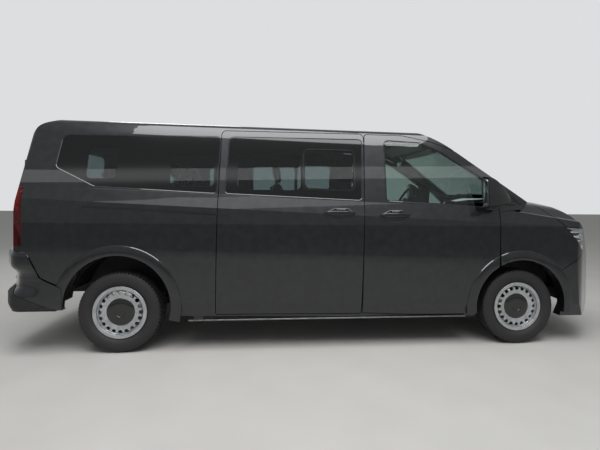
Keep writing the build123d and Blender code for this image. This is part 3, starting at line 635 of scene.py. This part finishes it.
def flare(name, arch, first, last):
    """Raised lip round a wheel arch between two angles, following the body side; right-hand side."""
    x0, z0, radius = arch
    # distance from the arch's centre, distance inward from the body side
    section = [(radius + 0.001, 0.030), (radius + 0.001, -FLARE_OUT + 0.004), (radius + 0.006, -FLARE_OUT),
               (radius + 0.020, -FLARE_OUT - 0.001), (radius + 0.060, -FLARE_OUT + 0.002),
               (radius + FLARE_REACH - 0.006, -FLARE_OUT + 0.006), (radius + FLARE_REACH, -0.001),
               (radius + FLARE_REACH, 0.030)]
    steps = max(int((last - first) / 3), 4)
    put_down()
    bpy.ops.mesh.primitive_grid_add(x_subdivisions=steps, y_subdivisions=len(section) - 1)
    piece = bpy.context.object
    piece.name = name
    columns = steps + 1
    for i, vertex in enumerate(piece.data.vertices):
        row, column = divmod(i, columns)
        angle = math.radians(first + (last - first) * column / steps)
        r, out = section[row]
        x = x0 + r * math.cos(angle)
        z = z0 + r * math.sin(angle)
        vertex.co = (x, -skin(x, z) + out, z)
    bpy.ops.object.mode_set(mode="EDIT")
    bpy.ops.mesh.select_all(action="DESELECT")
    bpy.ops.mesh.select_mode(type="EDGE")
    bpy.ops.mesh.select_non_manifold()
    bpy.ops.mesh.edge_face_add()
    bpy.ops.object.mode_set(mode="OBJECT")
    settle(piece)
    return piece


# the lip's two ends at the door's front edge, slanted so that the opening door's end passes
HINGE_Y = -1.0
SEAM = 0.003
DOOR_SETBACK = 0.002
# name, body, first and last angle, x of the end, way it faces, slant
LIP_ENDS = [
    ("front_arch_lip", "root", -9, 150, DOOR_FRONT_X + SEAM, -1, -0.85),
    ("door_arch_lip", "front_door_SIDE", 90, 188, DOOR_FRONT_X - SEAM - DOOR_SETBACK, 1, -0.45),
]
for name, body, first, last, x, way, slant in LIP_ENDS:
    lip = trimmed(flare(name, FRONT_ARCH, first, last), (x, 0, 0), (way, 0, 0))
    trimmed(lip, (x, HINGE_Y, 0), (way, slant, 0))
    both(lip, paint, body)
rear_lip = flare("rear_arch_lip", REAR_ARCH, -15, 181)
both(rear_lip, paint, "root")

# ---------------------------------------------------------------- rolled window edges
# name, body, outline in side view: x, z, corner radius
WINDOWS = [
    ("front_window_edge", "front_door_SIDE", [
        (0.530, 1.302, 0.025), (0.528, 1.838, 0.040), (0.860, 1.822, 0.120), (1.040, 1.752, 0.150),
        (1.366, 1.543, 0.150), (1.458, 1.478, 0.012), (1.470, 1.250, 0.030)]),
    ("middle_window_edge", "root", [
        (-0.868, 1.352, 0.025), (-0.846, 1.836, 0.040), (0.318, 1.840, 0.040), (0.300, 1.304, 0.025)]),
    ("rear_window_edge", "root", [
        (-2.245, 1.556, 0.040), (-2.215, 1.826, 0.050), (-0.925, 1.836, 0.040), (-0.946, 1.352, 0.025),
        (-1.930, 1.400, 0.130)]),
]
EDGE_WIDTH = 0.009
EDGE_DEPTH = 0.004
TRIM_OUT = 0.0015


def grown(points, amount):
    """A closed outline moved outward by an amount."""
    count = len(points)
    area = sum(points[i - 1].x * points[i].y - points[i].x * points[i - 1].y for i in range(count))
    way = 1 if area > 0 else -1
    moved = []
    for i, point in enumerate(points):
        along = points[(i + 1) % count] - points[i - 1]
        out = Vector((along.y, -along.x)).normalized() * way
        moved.append(point + out * amount)
    return moved


def on_side(points, stand_off):
    """Side-view points placed on the right-hand body side, standing off outward."""
    return [Vector((p.x, -skin(p.x, p.y) - stand_off, p.y)) for p in points]


for name, body, rows in WINDOWS:
    line = rounded(rows, 6)
    edge = band(name, on_side(grown(line, EDGE_WIDTH), TRIM_OUT), on_side(grown(line, -0.001), -EDGE_DEPTH),
                0.002)
    both(edge, paint, body, 50)

# sliding pane of the side door's window
pane_rows = [(-0.205, 1.385, 0.055), (-0.205, 1.745, 0.055), (0.245, 1.745, 0.055), (0.245, 1.385, 0.055)]
pane_line = rounded(pane_rows, 6)
pane = band("sliding_pane_frame", on_side(grown(pane_line, 0.005), TRIM_OUT),
            on_side(grown(pane_line, -0.004), TRIM_OUT), 0.004)
dress(pane, gloss_black, "root")

# ---------------------------------------------------------------- door handles
# name, x, z, body
HANDLES = [
    ("sliding_door_handle", 0.108, 1.183, "root"),
    ("front_door_handle", 0.596, 1.168, "front_door_SIDE"),
]


GRIP_LONG = 0.264
GRIP_BOW = 0.030


def door_handle(x, z):
    """Bowed grip over a dished cup; right-hand side."""
    y = -skin(x, z)
    cup_rows = [(x - 0.118, z + 0.012, 0.03), (x - 0.045, z + 0.046, 0.04), (x + 0.075, z + 0.046, 0.04),
                (x + 0.125, z + 0.010, 0.03), (x + 0.070, z - 0.068, 0.07), (x - 0.075, z - 0.068, 0.07)]
    line = rounded(cup_rows, 5)
    cup = slab("cup", on_side(line, -0.004), (0, -0.0075, 0))
    choose(cup, lambda centre, normal: normal.y < -0.8)
    edit(cup, lambda: bpy.ops.mesh.inset(thickness=0.007, depth=0.001),
         lambda: bpy.ops.mesh.inset(thickness=0.012, depth=-0.0035))
    modify(cup, "BEVEL", width=0.002, segments=2, limit_method="ANGLE")
    put_down()
    bpy.ops.mesh.primitive_grid_add(x_subdivisions=16, y_subdivisions=1, size=1)
    grip = bpy.context.object
    for vertex in grip.data.vertices:
        share = vertex.co.x + 0.5
        bow = math.sin(math.pi * share) ** 0.6
        height = 0.008 + 0.010 * bow
        vertex.co = (x - GRIP_LONG / 2 + GRIP_LONG * share, y - 0.006 - GRIP_BOW * bow,
                     z + 0.006 + height * vertex.co.y * 2)
    modify(grip, "SOLIDIFY", thickness=0.014, offset=0)
    settle(grip)
    modify(grip, "BEVEL", width=0.0055, segments=3, limit_method="ANGLE")
    # gloss black block in the upper cup, behind the grip: painted shade of the finger pocket
    pocket_shade = block("pocket_shade", (x - 0.035, y - 0.012, z + 0.010), (x + 0.060, y + 0.004, z + 0.042), 0.008)
    return cup, grip, pocket_shade


for name, x, z, body in HANDLES:
    cup, grip, pocket_shade = door_handle(x, z)
    cup.name, grip.name, pocket_shade.name = name + "_cup", name + "_grip", name + "_pocket"
    for piece, finish, slot in ((cup, paint, "body_paint"), (grip, paint, "body_paint"),
                                (pocket_shade, gloss_black, "gloss_black")):
        if body == "root":
            dress(piece, finish, body)
        else:
            both(piece, finish, body)

# ---------------------------------------------------------------- outside mirrors
MIRROR_LOW = (1.374, -1.140, 1.232)
MIRROR_HIGH = (1.596, -1.022, 1.520)
MIRROR_SIZE = [high - low for low, high in zip(MIRROR_LOW, MIRROR_HIGH)]


def mirror_housing(low_z, high_z, name):
    """Wedge-shaped housing: tall at the glass, low and pointed at its front end."""
    piece = block(name, MIRROR_LOW, MIRROR_HIGH)
    edit_all(piece, lambda: bpy.ops.mesh.subdivide(number_cuts=9))
    for vertex in piece.data.vertices:
        front = max((vertex.co.x - MIRROR_LOW[0]) / MIRROR_SIZE[0], 0)
        out = (MIRROR_HIGH[1] - vertex.co.y) / MIRROR_SIZE[1]
        share = (vertex.co.z - MIRROR_LOW[2]) / MIRROR_SIZE[2]
        top = MIRROR_HIGH[2] - 0.175 * front ** 1.7 - 0.010 * out ** 2
        foot = MIRROR_LOW[2] + 0.060 * front ** 2 + 0.008 * out ** 2
        vertex.co.z = foot + (top - foot) * share
        vertex.co.y += 0.050 * front ** 2 * out + 0.014 * share ** 2 * out
    modify(piece, "BEVEL", width=0.020, segments=5, limit_method="ANGLE", angle_limit=math.radians(50))
    if low_z:
        trimmed(piece, (0, 0, low_z), (0, 0, -1))
    if high_z:
        trimmed(piece, (0, 0, high_z), (0, 0, 1))
    return piece


MIRROR_SPLIT = 1.352
cap_part = mirror_housing(MIRROR_SPLIT + 0.001, 0, "mirror_cap")
foot_part = mirror_housing(0, MIRROR_SPLIT - 0.001, "mirror_base")
ARM_ROWS = ((1.402, 1.262), (1.398, 1.228), (1.508, 1.220), (1.512, 1.240), (1.470, 1.262))
foot_arm = slab("arm", [Vector((x, -1.040, z)) for x, z in ARM_ROWS], (0, 0.072, 0), 0.006, 3)
foot_part = join("mirror_base", [foot_part, foot_arm])
glass_rows = rounded([(-1.122, 1.262, 0.02), (-1.112, 1.490, 0.03),
                      (-1.036, 1.494, 0.03), (-1.036, 1.258, 0.02)])
GLASS_X = 1.3725
mirror_glass = slab("mirror_glass", [Vector((GLASS_X, p.x, p.y)) for p in glass_rows], (0.004, 0, 0), 0.001)
for piece, finish, slot in ((cap_part, paint, "body_paint"), (foot_part, gloss_black, "gloss_black"),
                            (mirror_glass, chrome, "gloss_black")):
    pair = both(piece, finish, "front_door_SIDE")
    for made, side in zip(pair, ("right", "left")):
        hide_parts("mirror_" + side)

# ---------------------------------------------------------------- seats
# depth of a stitched channel, and its reach as a share of the pad's half size
CHANNEL_DEEP = 0.010
CHANNEL_WIDE = 0.045


def cushion(name, size, radius, crown, channels=(), bolster=0.0, cuts=30):
    """Crowned pad lying flat on its back: top face upward, channels across it as (axis, place) pairs."""
    put_down()
    bpy.ops.mesh.primitive_cube_add(size=1)
    piece = bpy.context.object
    piece.name = name
    edit_all(piece, lambda: bpy.ops.mesh.subdivide(number_cuts=cuts))
    half = Vector(size) / 2
    core = Vector([max(h - radius, 0.001) for h in half])
    for vertex in piece.data.vertices:
        u, v, w = vertex.co * 2
        place = Vector((u * half.x, v * half.y, w * half.z))
        inner = Vector([max(-c, min(c, p)) for p, c in zip(place, core)])
        out = place - inner
        if out.length > 1e-6:
            place = inner + out.normalized() * radius
        dome = (1 - u * u) * (1 - v * v)
        waist = 1 - 0.018 * (1 - w * w) * (abs(u) + abs(v)) / 2
        place.x *= waist
        place.y *= waist
        if w > 0.2:
            place.z += crown * dome ** 0.7
            place.z += bolster * max(0, (abs(v) - 0.55) / 0.45) ** 1.5 * (1 - abs(v) ** 8)
            for axis, at in channels:
                near, along = (u - at, v) if axis == "x" else (v - at, u)
                place.z -= CHANNEL_DEEP * math.exp(-(near / CHANNEL_WIDE) ** 2) * (1 - along ** 6)
        vertex.co = place
    settle(piece)
    return piece


def moved(piece, place, lean=0.0):
    """Turns a piece about the cross axis and puts it in its place."""
    take(piece)
    piece.matrix_world = Matrix.Translation(place) @ Matrix.Rotation(math.radians(lean), 4, "Y")
    settle(piece)
    return piece


def soft(piece):
    dress(piece, fabric, "root", 60)
    return piece


CUSHION_LEAN = -3.4
BACK_LEAN = 180 - 105.5
HEAD_LEAN = 80


def seat_place(name, x, y, width, bolster):
    """Cushion, back rest and head rest of one seat place over its hip point."""
    base = FLOOR_TOP
    pad = cushion(name + "_cushion", (0.50, width - 0.012, 0.125), 0.036, 0.020,
                  (("x", 0.30), ("x", -0.30), ("y", 0.62), ("y", -0.62)), bolster)
    soft(moved(pad, (x + 0.020, y, base + 0.372), CUSHION_LEAN))
    back = cushion(name + "_back", (0.545, width - 0.030, 0.088), 0.034, 0.022,
                   (("x", 0.05), ("x", -0.45), ("y", 0.60), ("y", -0.60)), bolster)
    soft(moved(back, (x - 0.262, y, base + 0.622), BACK_LEAN))
    head = cushion(name + "_head_rest", (0.150, 0.236, 0.070), 0.034, 0.010, (("x", 0.0),), 0, 18)
    soft(moved(head, (x - 0.332, y, base + 1.008), HEAD_LEAN))
    posts = []
    for side in (-1, 1):
        put_down()
        bpy.ops.mesh.primitive_cylinder_add(vertices=20, radius=0.0062, depth=0.13,
                                            location=(x - 0.337, y + side * 0.06, base + 0.905))
        posts.append(bpy.context.object)
        settle(posts[-1])
    dress(join(name + "_posts", posts), steel, "root")


# section of a back rest's shell: distance behind the hip point, height over the floor
BACK_SHELL = ((0.262, 0.330), (0.276, 0.330), (0.390, 0.855), (0.376, 0.862))

# name, node, hip x, middle y, width, places across it, bolster height
SEATS = [
    ("driver", "driver_seat", 0.820, 0.385, 0.500, (0.0,), 0.022),
    ("passenger", "passenger_seat", 0.820, -0.300, 0.860, (-0.205, 0.205), 0.008),
    ("second_row", "second_row_seat", -0.120, 0.120, 1.380, (-0.460, 0.0, 0.460), 0.006),
    ("third_row", "third_row_seat", -1.080, 0.0, 1.260, (-0.420, 0.0, 0.420), 0.006),
]
for name, node, x, y, width, places, bolster in SEATS:
    each = width / len(places)
    for i, offset in enumerate(places):
        seat_place(name + "_" + str(i + 1), x, y + offset, each, bolster)
    half = width / 2
    plinth = block(name + "_base", (x - 0.190, y - half + 0.06, FLOOR_TOP + 0.001),
                   (x + 0.220, y + half - 0.06, FLOOR_TOP + 0.300), 0.02)
    rear = [Vector((x - back, y - half + 0.03, FLOOR_TOP + up)) for back, up in BACK_SHELL]
    shell = slab(name + "_back_shell", rear, (0, width - 0.06, 0), 0.006)
    base = join(name + "_frame", [plinth, shell])
    dress(base, cabin_grey, "root")
    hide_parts(node)

# ---------------------------------------------------------------- headlamps, light strip and grilles
RIGHT_ONLY = ((0, 0, 0), (0, 1, 0))


def above(z):
    """Cut that keeps what lies above a height."""
    return ((0, 0, z), (0, 0, -1))


def below(z):
    """Cut that keeps what lies below a height."""
    return ((0, 0, z), (0, 0, 1))


LAMP_WAY = (1, -0.7, 0.5)
lamp_lens = shell_of("headlamp_lens", "headlamps", LAMP_WAY, 0.35, 0.003, 0.0, [RIGHT_ONLY])
pair = both(lamp_lens, lens, "root", 50)
for made in pair:
    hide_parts("headlamps")
lamp_body = shell_of("headlamp_housing", "headlamps", LAMP_WAY, 0.35, 0.003, -0.034, [RIGHT_ONLY])
both(lamp_body, gloss_black, "root", 50)
# name, foot, top, how far behind the lens
LIGHT_BARS = [
    ("running_light", 1.020, 1.032, 0.012),
    ("low_beam", 0.974, 0.992, 0.018),
    ("corner_light", 0.940, 0.948, 0.012),
]
for stem, low, high, behind_lens in LIGHT_BARS:
    cuts = [RIGHT_ONLY, above(low), below(high)]
    bar = shell_of(stem, "headlamps", LAMP_WAY, 0.5, 0.008, -behind_lens, cuts)
    both(bar, light_guide, "root", 50)

strip = shell_of("light_strip", "upper_grille", (1, 0, 0.2), 0.5, 0.004, 0.0025, [above(1.000), below(1.010)])
dress(strip, light_guide, "root")
BARS_FOOT = 0.366
BARS_PITCH = 0.042
BAR_HIGH = 0.014
for i in range(4):
    z = BARS_FOOT + BARS_PITCH * i
    bar = shell_of("grille_bar_" + str(i + 1), "lower_grille", (1, 0, 0), 0.5, 0.010, 0.008,
                   [above(z), below(z + BAR_HIGH)])
    dress(bar, grained_black, "root")

# ---------------------------------------------------------------- tail
LAMP_BACK = (-1, -0.8, 0)

# plan outline of the bumper from the right-hand side round to the left: x, y, corner radius
BUMPER_PLAN = [(-2.150, -1.006, 0.01), (-2.540, -1.008, 0.13), (-2.702, -0.790, 0.16), (-2.722, -0.300, 0.60),
               (-2.722, 0.300, 0.60), (-2.702, 0.790, 0.16), (-2.540, 1.008, 0.13), (-2.150, 1.006, 0.01)]
BUMPER_FOOT = 0.382
BUMPER_TOP = 0.868
WAIST = 0.052
TURNED_EDGE = 0.014
TOP_FLANGE = 0.100
FOOT_FLANGE = 0.060
ROWS = 22
COLUMNS = 161
SHEET = 0.004
DOORS_HALF = 0.758
DOORS_FOOT = 0.617


def eased(value, low, high):
    """0 below low, 1 above high, and an even curve between them."""
    share = max(0.0, min(1.0, (value - low) / (high - low)))
    return share * share * (3 - 2 * share)


def behind(path, start, count):
    """Evenly spaced points on the part of the path that lies behind a starting x."""
    kept = [i for i, point in enumerate(path) if point.x <= start]
    ends = [path[i].lerp(path[j], (path[i].x - start) / (path[i].x - path[j].x))
            for i, j in ((kept[0] - 1, kept[0]), (kept[-1] + 1, kept[-1]))]
    points = [ends[0]] + [path[i] for i in kept] + [ends[1]]
    gone = [0.0]
    for here, ahead in zip(points, points[1:]):
        gone.append(gone[-1] + (ahead - here).length)
    spaced, k = [], 0
    for i in range(count):
        way = gone[-1] * i / (count - 1)
        while k < len(points) - 2 and gone[k + 1] < way:
            k += 1
        spaced.append(points[k].lerp(points[k + 1], (way - gone[k]) / max(gone[k + 1] - gone[k], 1e-9)))
    return spaced


def bumper_inset(x, z):
    """How far the bumper's skin lies inside its plan outline: the waist and the turned edges."""
    waist = WAIST * eased(z, 0.500, 0.575) * (1 - eased(z, 0.670, 0.745)) * eased(-x, 2.300, 2.560)
    return waist + TURNED_EDGE * (eased(z, 0.835, BUMPER_TOP) + 1 - eased(z, BUMPER_FOOT, 0.410))


def doors_cut(piece):
    """Opens the bumper's middle, down to the step, for the rear doors."""
    for place, normal in (((0, DOORS_HALF, 0), (0, 1, 0)), ((0, -DOORS_HALF, 0), (0, 1, 0)),
                          ((0, 0, DOORS_FOOT), (0, 0, 1))):
        edit_all(piece, lambda: bpy.ops.mesh.bisect(plane_co=place, plane_no=normal))
    choose(piece, lambda centre, normal: abs(centre.y) < DOORS_HALF and centre.z > DOORS_FOOT)
    edit(piece, lambda: bpy.ops.mesh.delete(type="FACE"))


def bumper_skin(name, foot, head, start_of, stand_off):
    """Bumper skin between two heights: bulged band above, waist, bulged step below."""
    path = rounded(BUMPER_PLAN, 12)
    levels = [foot + (head - foot) * k / ROWS for k in range(ROWS + 1)]
    rows = [(foot, FOOT_FLANGE)] + [(z, 0.0) for z in levels] + [(head, TOP_FLANGE)]
    put_down()
    bpy.ops.mesh.primitive_grid_add(x_subdivisions=COLUMNS - 1, y_subdivisions=len(rows) - 1)
    piece = bpy.context.object
    piece.name = name
    for row, (z, flange) in enumerate(rows):
        plan = behind(path, start_of(z), COLUMNS)
        for column, here in enumerate(plan):
            along = plan[min(column + 1, COLUMNS - 1)] - plan[max(column - 1, 0)]
            inward = Vector((-along.y, along.x)).normalized()
            if inward.dot(Vector((-2.0, 0)) - here) < 0:
                inward = -inward
            place = here + inward * (bumper_inset(here.x, z) + flange - stand_off)
            piece.data.vertices[row * COLUMNS + column].co = (place.x, place.y, z)
    doors_cut(piece)
    modify(piece, "SOLIDIFY", thickness=SHEET, offset=0)
    settle(piece)
    return piece


def panel_start(z):
    """Front end of the bumper's side at a height."""
    if z < 0.560:
        return -2.166
    if z < 0.640:
        return -2.166 - 0.170 * (z - 0.560) / 0.080
    return -2.336 - 0.106 * (z - 0.640) / 0.226


def step_start(z):
    """Front end of the black step at a height."""
    return -2.640 + (0.560 - z) / 0.43


bumper = bumper_skin("rear_bumper_skin", BUMPER_FOOT, BUMPER_TOP, panel_start, 0.0)
dress(bumper, paint, "root", 50)
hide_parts("rear_bumper")
step = bumper_skin("rear_bumper_step", 0.376, 0.556, step_start, 0.006)
dress(step, grained_black, "root", 50)

# walls that close the bumper beside the doors, and the tread below them
WALL_BACK = -2.705
WALL_FRONT = -2.626
levels = [DOORS_FOOT - 0.010 + (0.864 - DOORS_FOOT + 0.010) * k / 12 for k in range(13)]
wall_rows = [Vector((WALL_BACK + bumper_inset(-2.7, z) + 0.002, -DOORS_HALF, z)) for z in levels]
wall_rows += [Vector((WALL_FRONT, -DOORS_HALF, levels[-1])), Vector((WALL_FRONT, -DOORS_HALF, levels[0]))]
both(slab("rear_bumper_wall", wall_rows, (0, -SHEET, 0)), paint, "root", 50)
tread = block("rear_bumper_tread", (-2.666, -DOORS_HALF, DOORS_FOOT - 0.012),
              (-2.560, DOORS_HALF, DOORS_FOOT), 0.003)
dress(tread, grained_black, "root")

tail_lens = shell_of("tail_lens", "tail_lamps", LAMP_BACK, 0.35, 0.003, 0.0, [RIGHT_ONLY])
pair = both(tail_lens, red_lens, "root", 50)
for made in pair:
    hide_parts("tail_lamps")
tail_body = shell_of("tail_lamp_housing", "tail_lamps", LAMP_BACK, 0.35, 0.003, -0.030, [RIGHT_ONLY])
both(tail_body, red_inner, "root", 50)
TAIL_BAR_HIGH = 0.015
for stem, low in (("tail_bar_upper", 1.330), ("tail_bar_middle", 1.230), ("tail_bar_lower", 1.110)):
    cuts = [RIGHT_ONLY, above(low), below(low + TAIL_BAR_HIGH)]
    bar = shell_of(stem, "tail_lamps", LAMP_BACK, 0.5, 0.006, -0.012, cuts)
    both(bar, red_inner, "root", 50)

TAIL_SKIN = -2.622
plate = block("rear_plate", (TAIL_SKIN - 0.014, 0.150, 0.930), (TAIL_SKIN - 0.006, 0.670, 1.040), 0.003)
dress(plate, plate_white, "rear_door_left")
plate_lamp = block("plate_lamp", (TAIL_SKIN - 0.030, 0.240, 1.052), (TAIL_SKIN + 0.002, 0.580, 1.078), 0.008)
dress(plate_lamp, grained_black, "rear_door_left")
pull = block("rear_door_handle", (TAIL_SKIN - 0.030, -0.150, 0.985),
             (TAIL_SKIN + 0.002, -0.050, 1.075), 0.012)
dress(pull, grained_black, "rear_door_right")
PLATE_LONG = 0.520
PLATE_SECTION = ((2.709, 0.640), (2.715, 0.640), (2.688, 0.750), (2.682, 0.750))
plate_rows = [Vector((x, -PLATE_LONG / 2, z)) for x, z in PLATE_SECTION]
front_plate = slab("front_plate", plate_rows, (0, PLATE_LONG, 0), 0.002)
dress(front_plate, plate_white, "root")

# ---------------------------------------------------------------- windscreen border and wipers
# the screen is part of a cone about an upright axis, through a place at its head and falling at a slope
SCREEN_AXIS = -1.0
SCREEN_HEAD = (1.165, 1.885)
SCREEN_SLOPE = (0.820, 0.585)
SCREEN_OUT = (0.581, 0.814)


def screen(y, z, out):
    """A place on the windscreen, standing off it."""
    reach = SCREEN_HEAD[0] + (SCREEN_HEAD[1] - z) * SCREEN_SLOPE[0] / SCREEN_SLOPE[1] - SCREEN_AXIS
    x = math.sqrt(reach ** 2 - y ** 2) + SCREEN_AXIS
    return Vector((x + out * SCREEN_OUT[0], y * (1 + out * 0.2), z + out * SCREEN_OUT[1]))


BORDER_STEP = 0.06
screen_rows = rounded([(-0.770, 1.334, 0.04), (-0.655, 1.850, 0.06),
                       (0.655, 1.850, 0.06), (0.770, 1.334, 0.04)], 8)
dense = []
for i, point in enumerate(screen_rows):
    ahead = screen_rows[(i + 1) % len(screen_rows)]
    parts = max(int((ahead - point).length / BORDER_STEP), 1)
    dense += [point.lerp(ahead, k / parts) for k in range(parts)]
border = band("windscreen_border", [screen(p.x, p.y, 0.002) for p in grown(dense, 0.002)],
              [screen(p.x, p.y, 0.002) for p in grown(dense, -0.036)], 0.001)
dress(border, gloss_black, "root")


def wiper(name, pivot, tip, middle):
    """Arm and blade lying along the foot of the windscreen."""
    def bar(start, end, out, wide, thick):
        steps = 14
        places = [screen(start[0] + (end[0] - start[0]) * k / steps,
                         start[1] + (end[1] - start[1]) * k / steps, out) for k in range(steps + 1)]
        edge = [p + Vector((-0.35, 0, 0.8)) * wide for p in reversed(places)]
        return slab("bar", places + edge, Vector((SCREEN_OUT[0], 0, SCREEN_OUT[1])) * thick, 0.002)

    blade = bar(middle, tip, 0.006, 0.010, 0.014)
    arm = bar(pivot, ((middle[0] + tip[0]) / 2, (middle[1] + tip[1]) / 2 + 0.008), 0.020, 0.014, 0.010)
    made = join(name, [blade, arm])
    dress(made, grained_black, "root")


wiper("wiper_driver", (0.600, 1.322), (-0.060, 1.352), (0.560, 1.362))
wiper("wiper_passenger", (-0.080, 1.318), (-0.700, 1.362), (-0.130, 1.345))

# ---------------------------------------------------------------- roof trim, sill highlight bar and rail groove shade
put_down()
bpy.ops.mesh.primitive_uv_sphere_add(segments=32, ring_count=16, radius=0.5, scale=(0.110, 0.060, 0.052),
                                     location=(0.60, 0, ROOF_TOP - 0.012))
pod = bpy.context.object
pod.name = "aerial_pod"
settle(pod)
trimmed(pod, (0, 0, ROOF_TOP - 0.018), (0, 0, -1))
dress(pod, gloss_black, "root", 60)

# bright stainless bar along the foot of the body side: painted highlight, standing in for the light that the
# body's lower flange catches
sill = block("sill_highlight_bar", (-1.170, -0.962, 0.262), (1.262, -0.948, 0.274), 0.003)
both(sill, steel, "root")
# near-black strip laid on the body side over the sliding door's rail: painted shade of the rail's groove
rail_rows = rounded([(-2.010, 1.217, 0.008), (-2.010, 1.236, 0.008),
                     (-0.912, 1.184, 0.004), (-0.912, 1.166, 0.004)], 4)
rail = slab("sliding_rail_groove_shade", on_side(rail_rows, TRIM_OUT), (0, 0.004, 0))
dress(rail, painted_groove_shade, "root")

# ---------------------------------------------------------------- cabin details
mirror_back = block("inside_mirror", (0.925, -0.115, 1.672), (0.950, 0.115, 1.738), 0.010)
mirror_face = block("inside_mirror_glass", (0.9225, -0.108, 1.679), (0.926, 0.108, 1.731), 0.001)
dress(mirror_back, cabin_grey, "root")
dress(mirror_face, chrome, "root")
display = block("dash_display", (1.300, -0.135, 1.115), (1.322, 0.135, 1.270), 0.006)
cluster = block("instrument_hood", (1.335, 0.230, 1.130), (1.470, 0.540, 1.225), 0.030)
dress(display, gloss_black, "root")
dress(cluster, cabin_grey, "root")
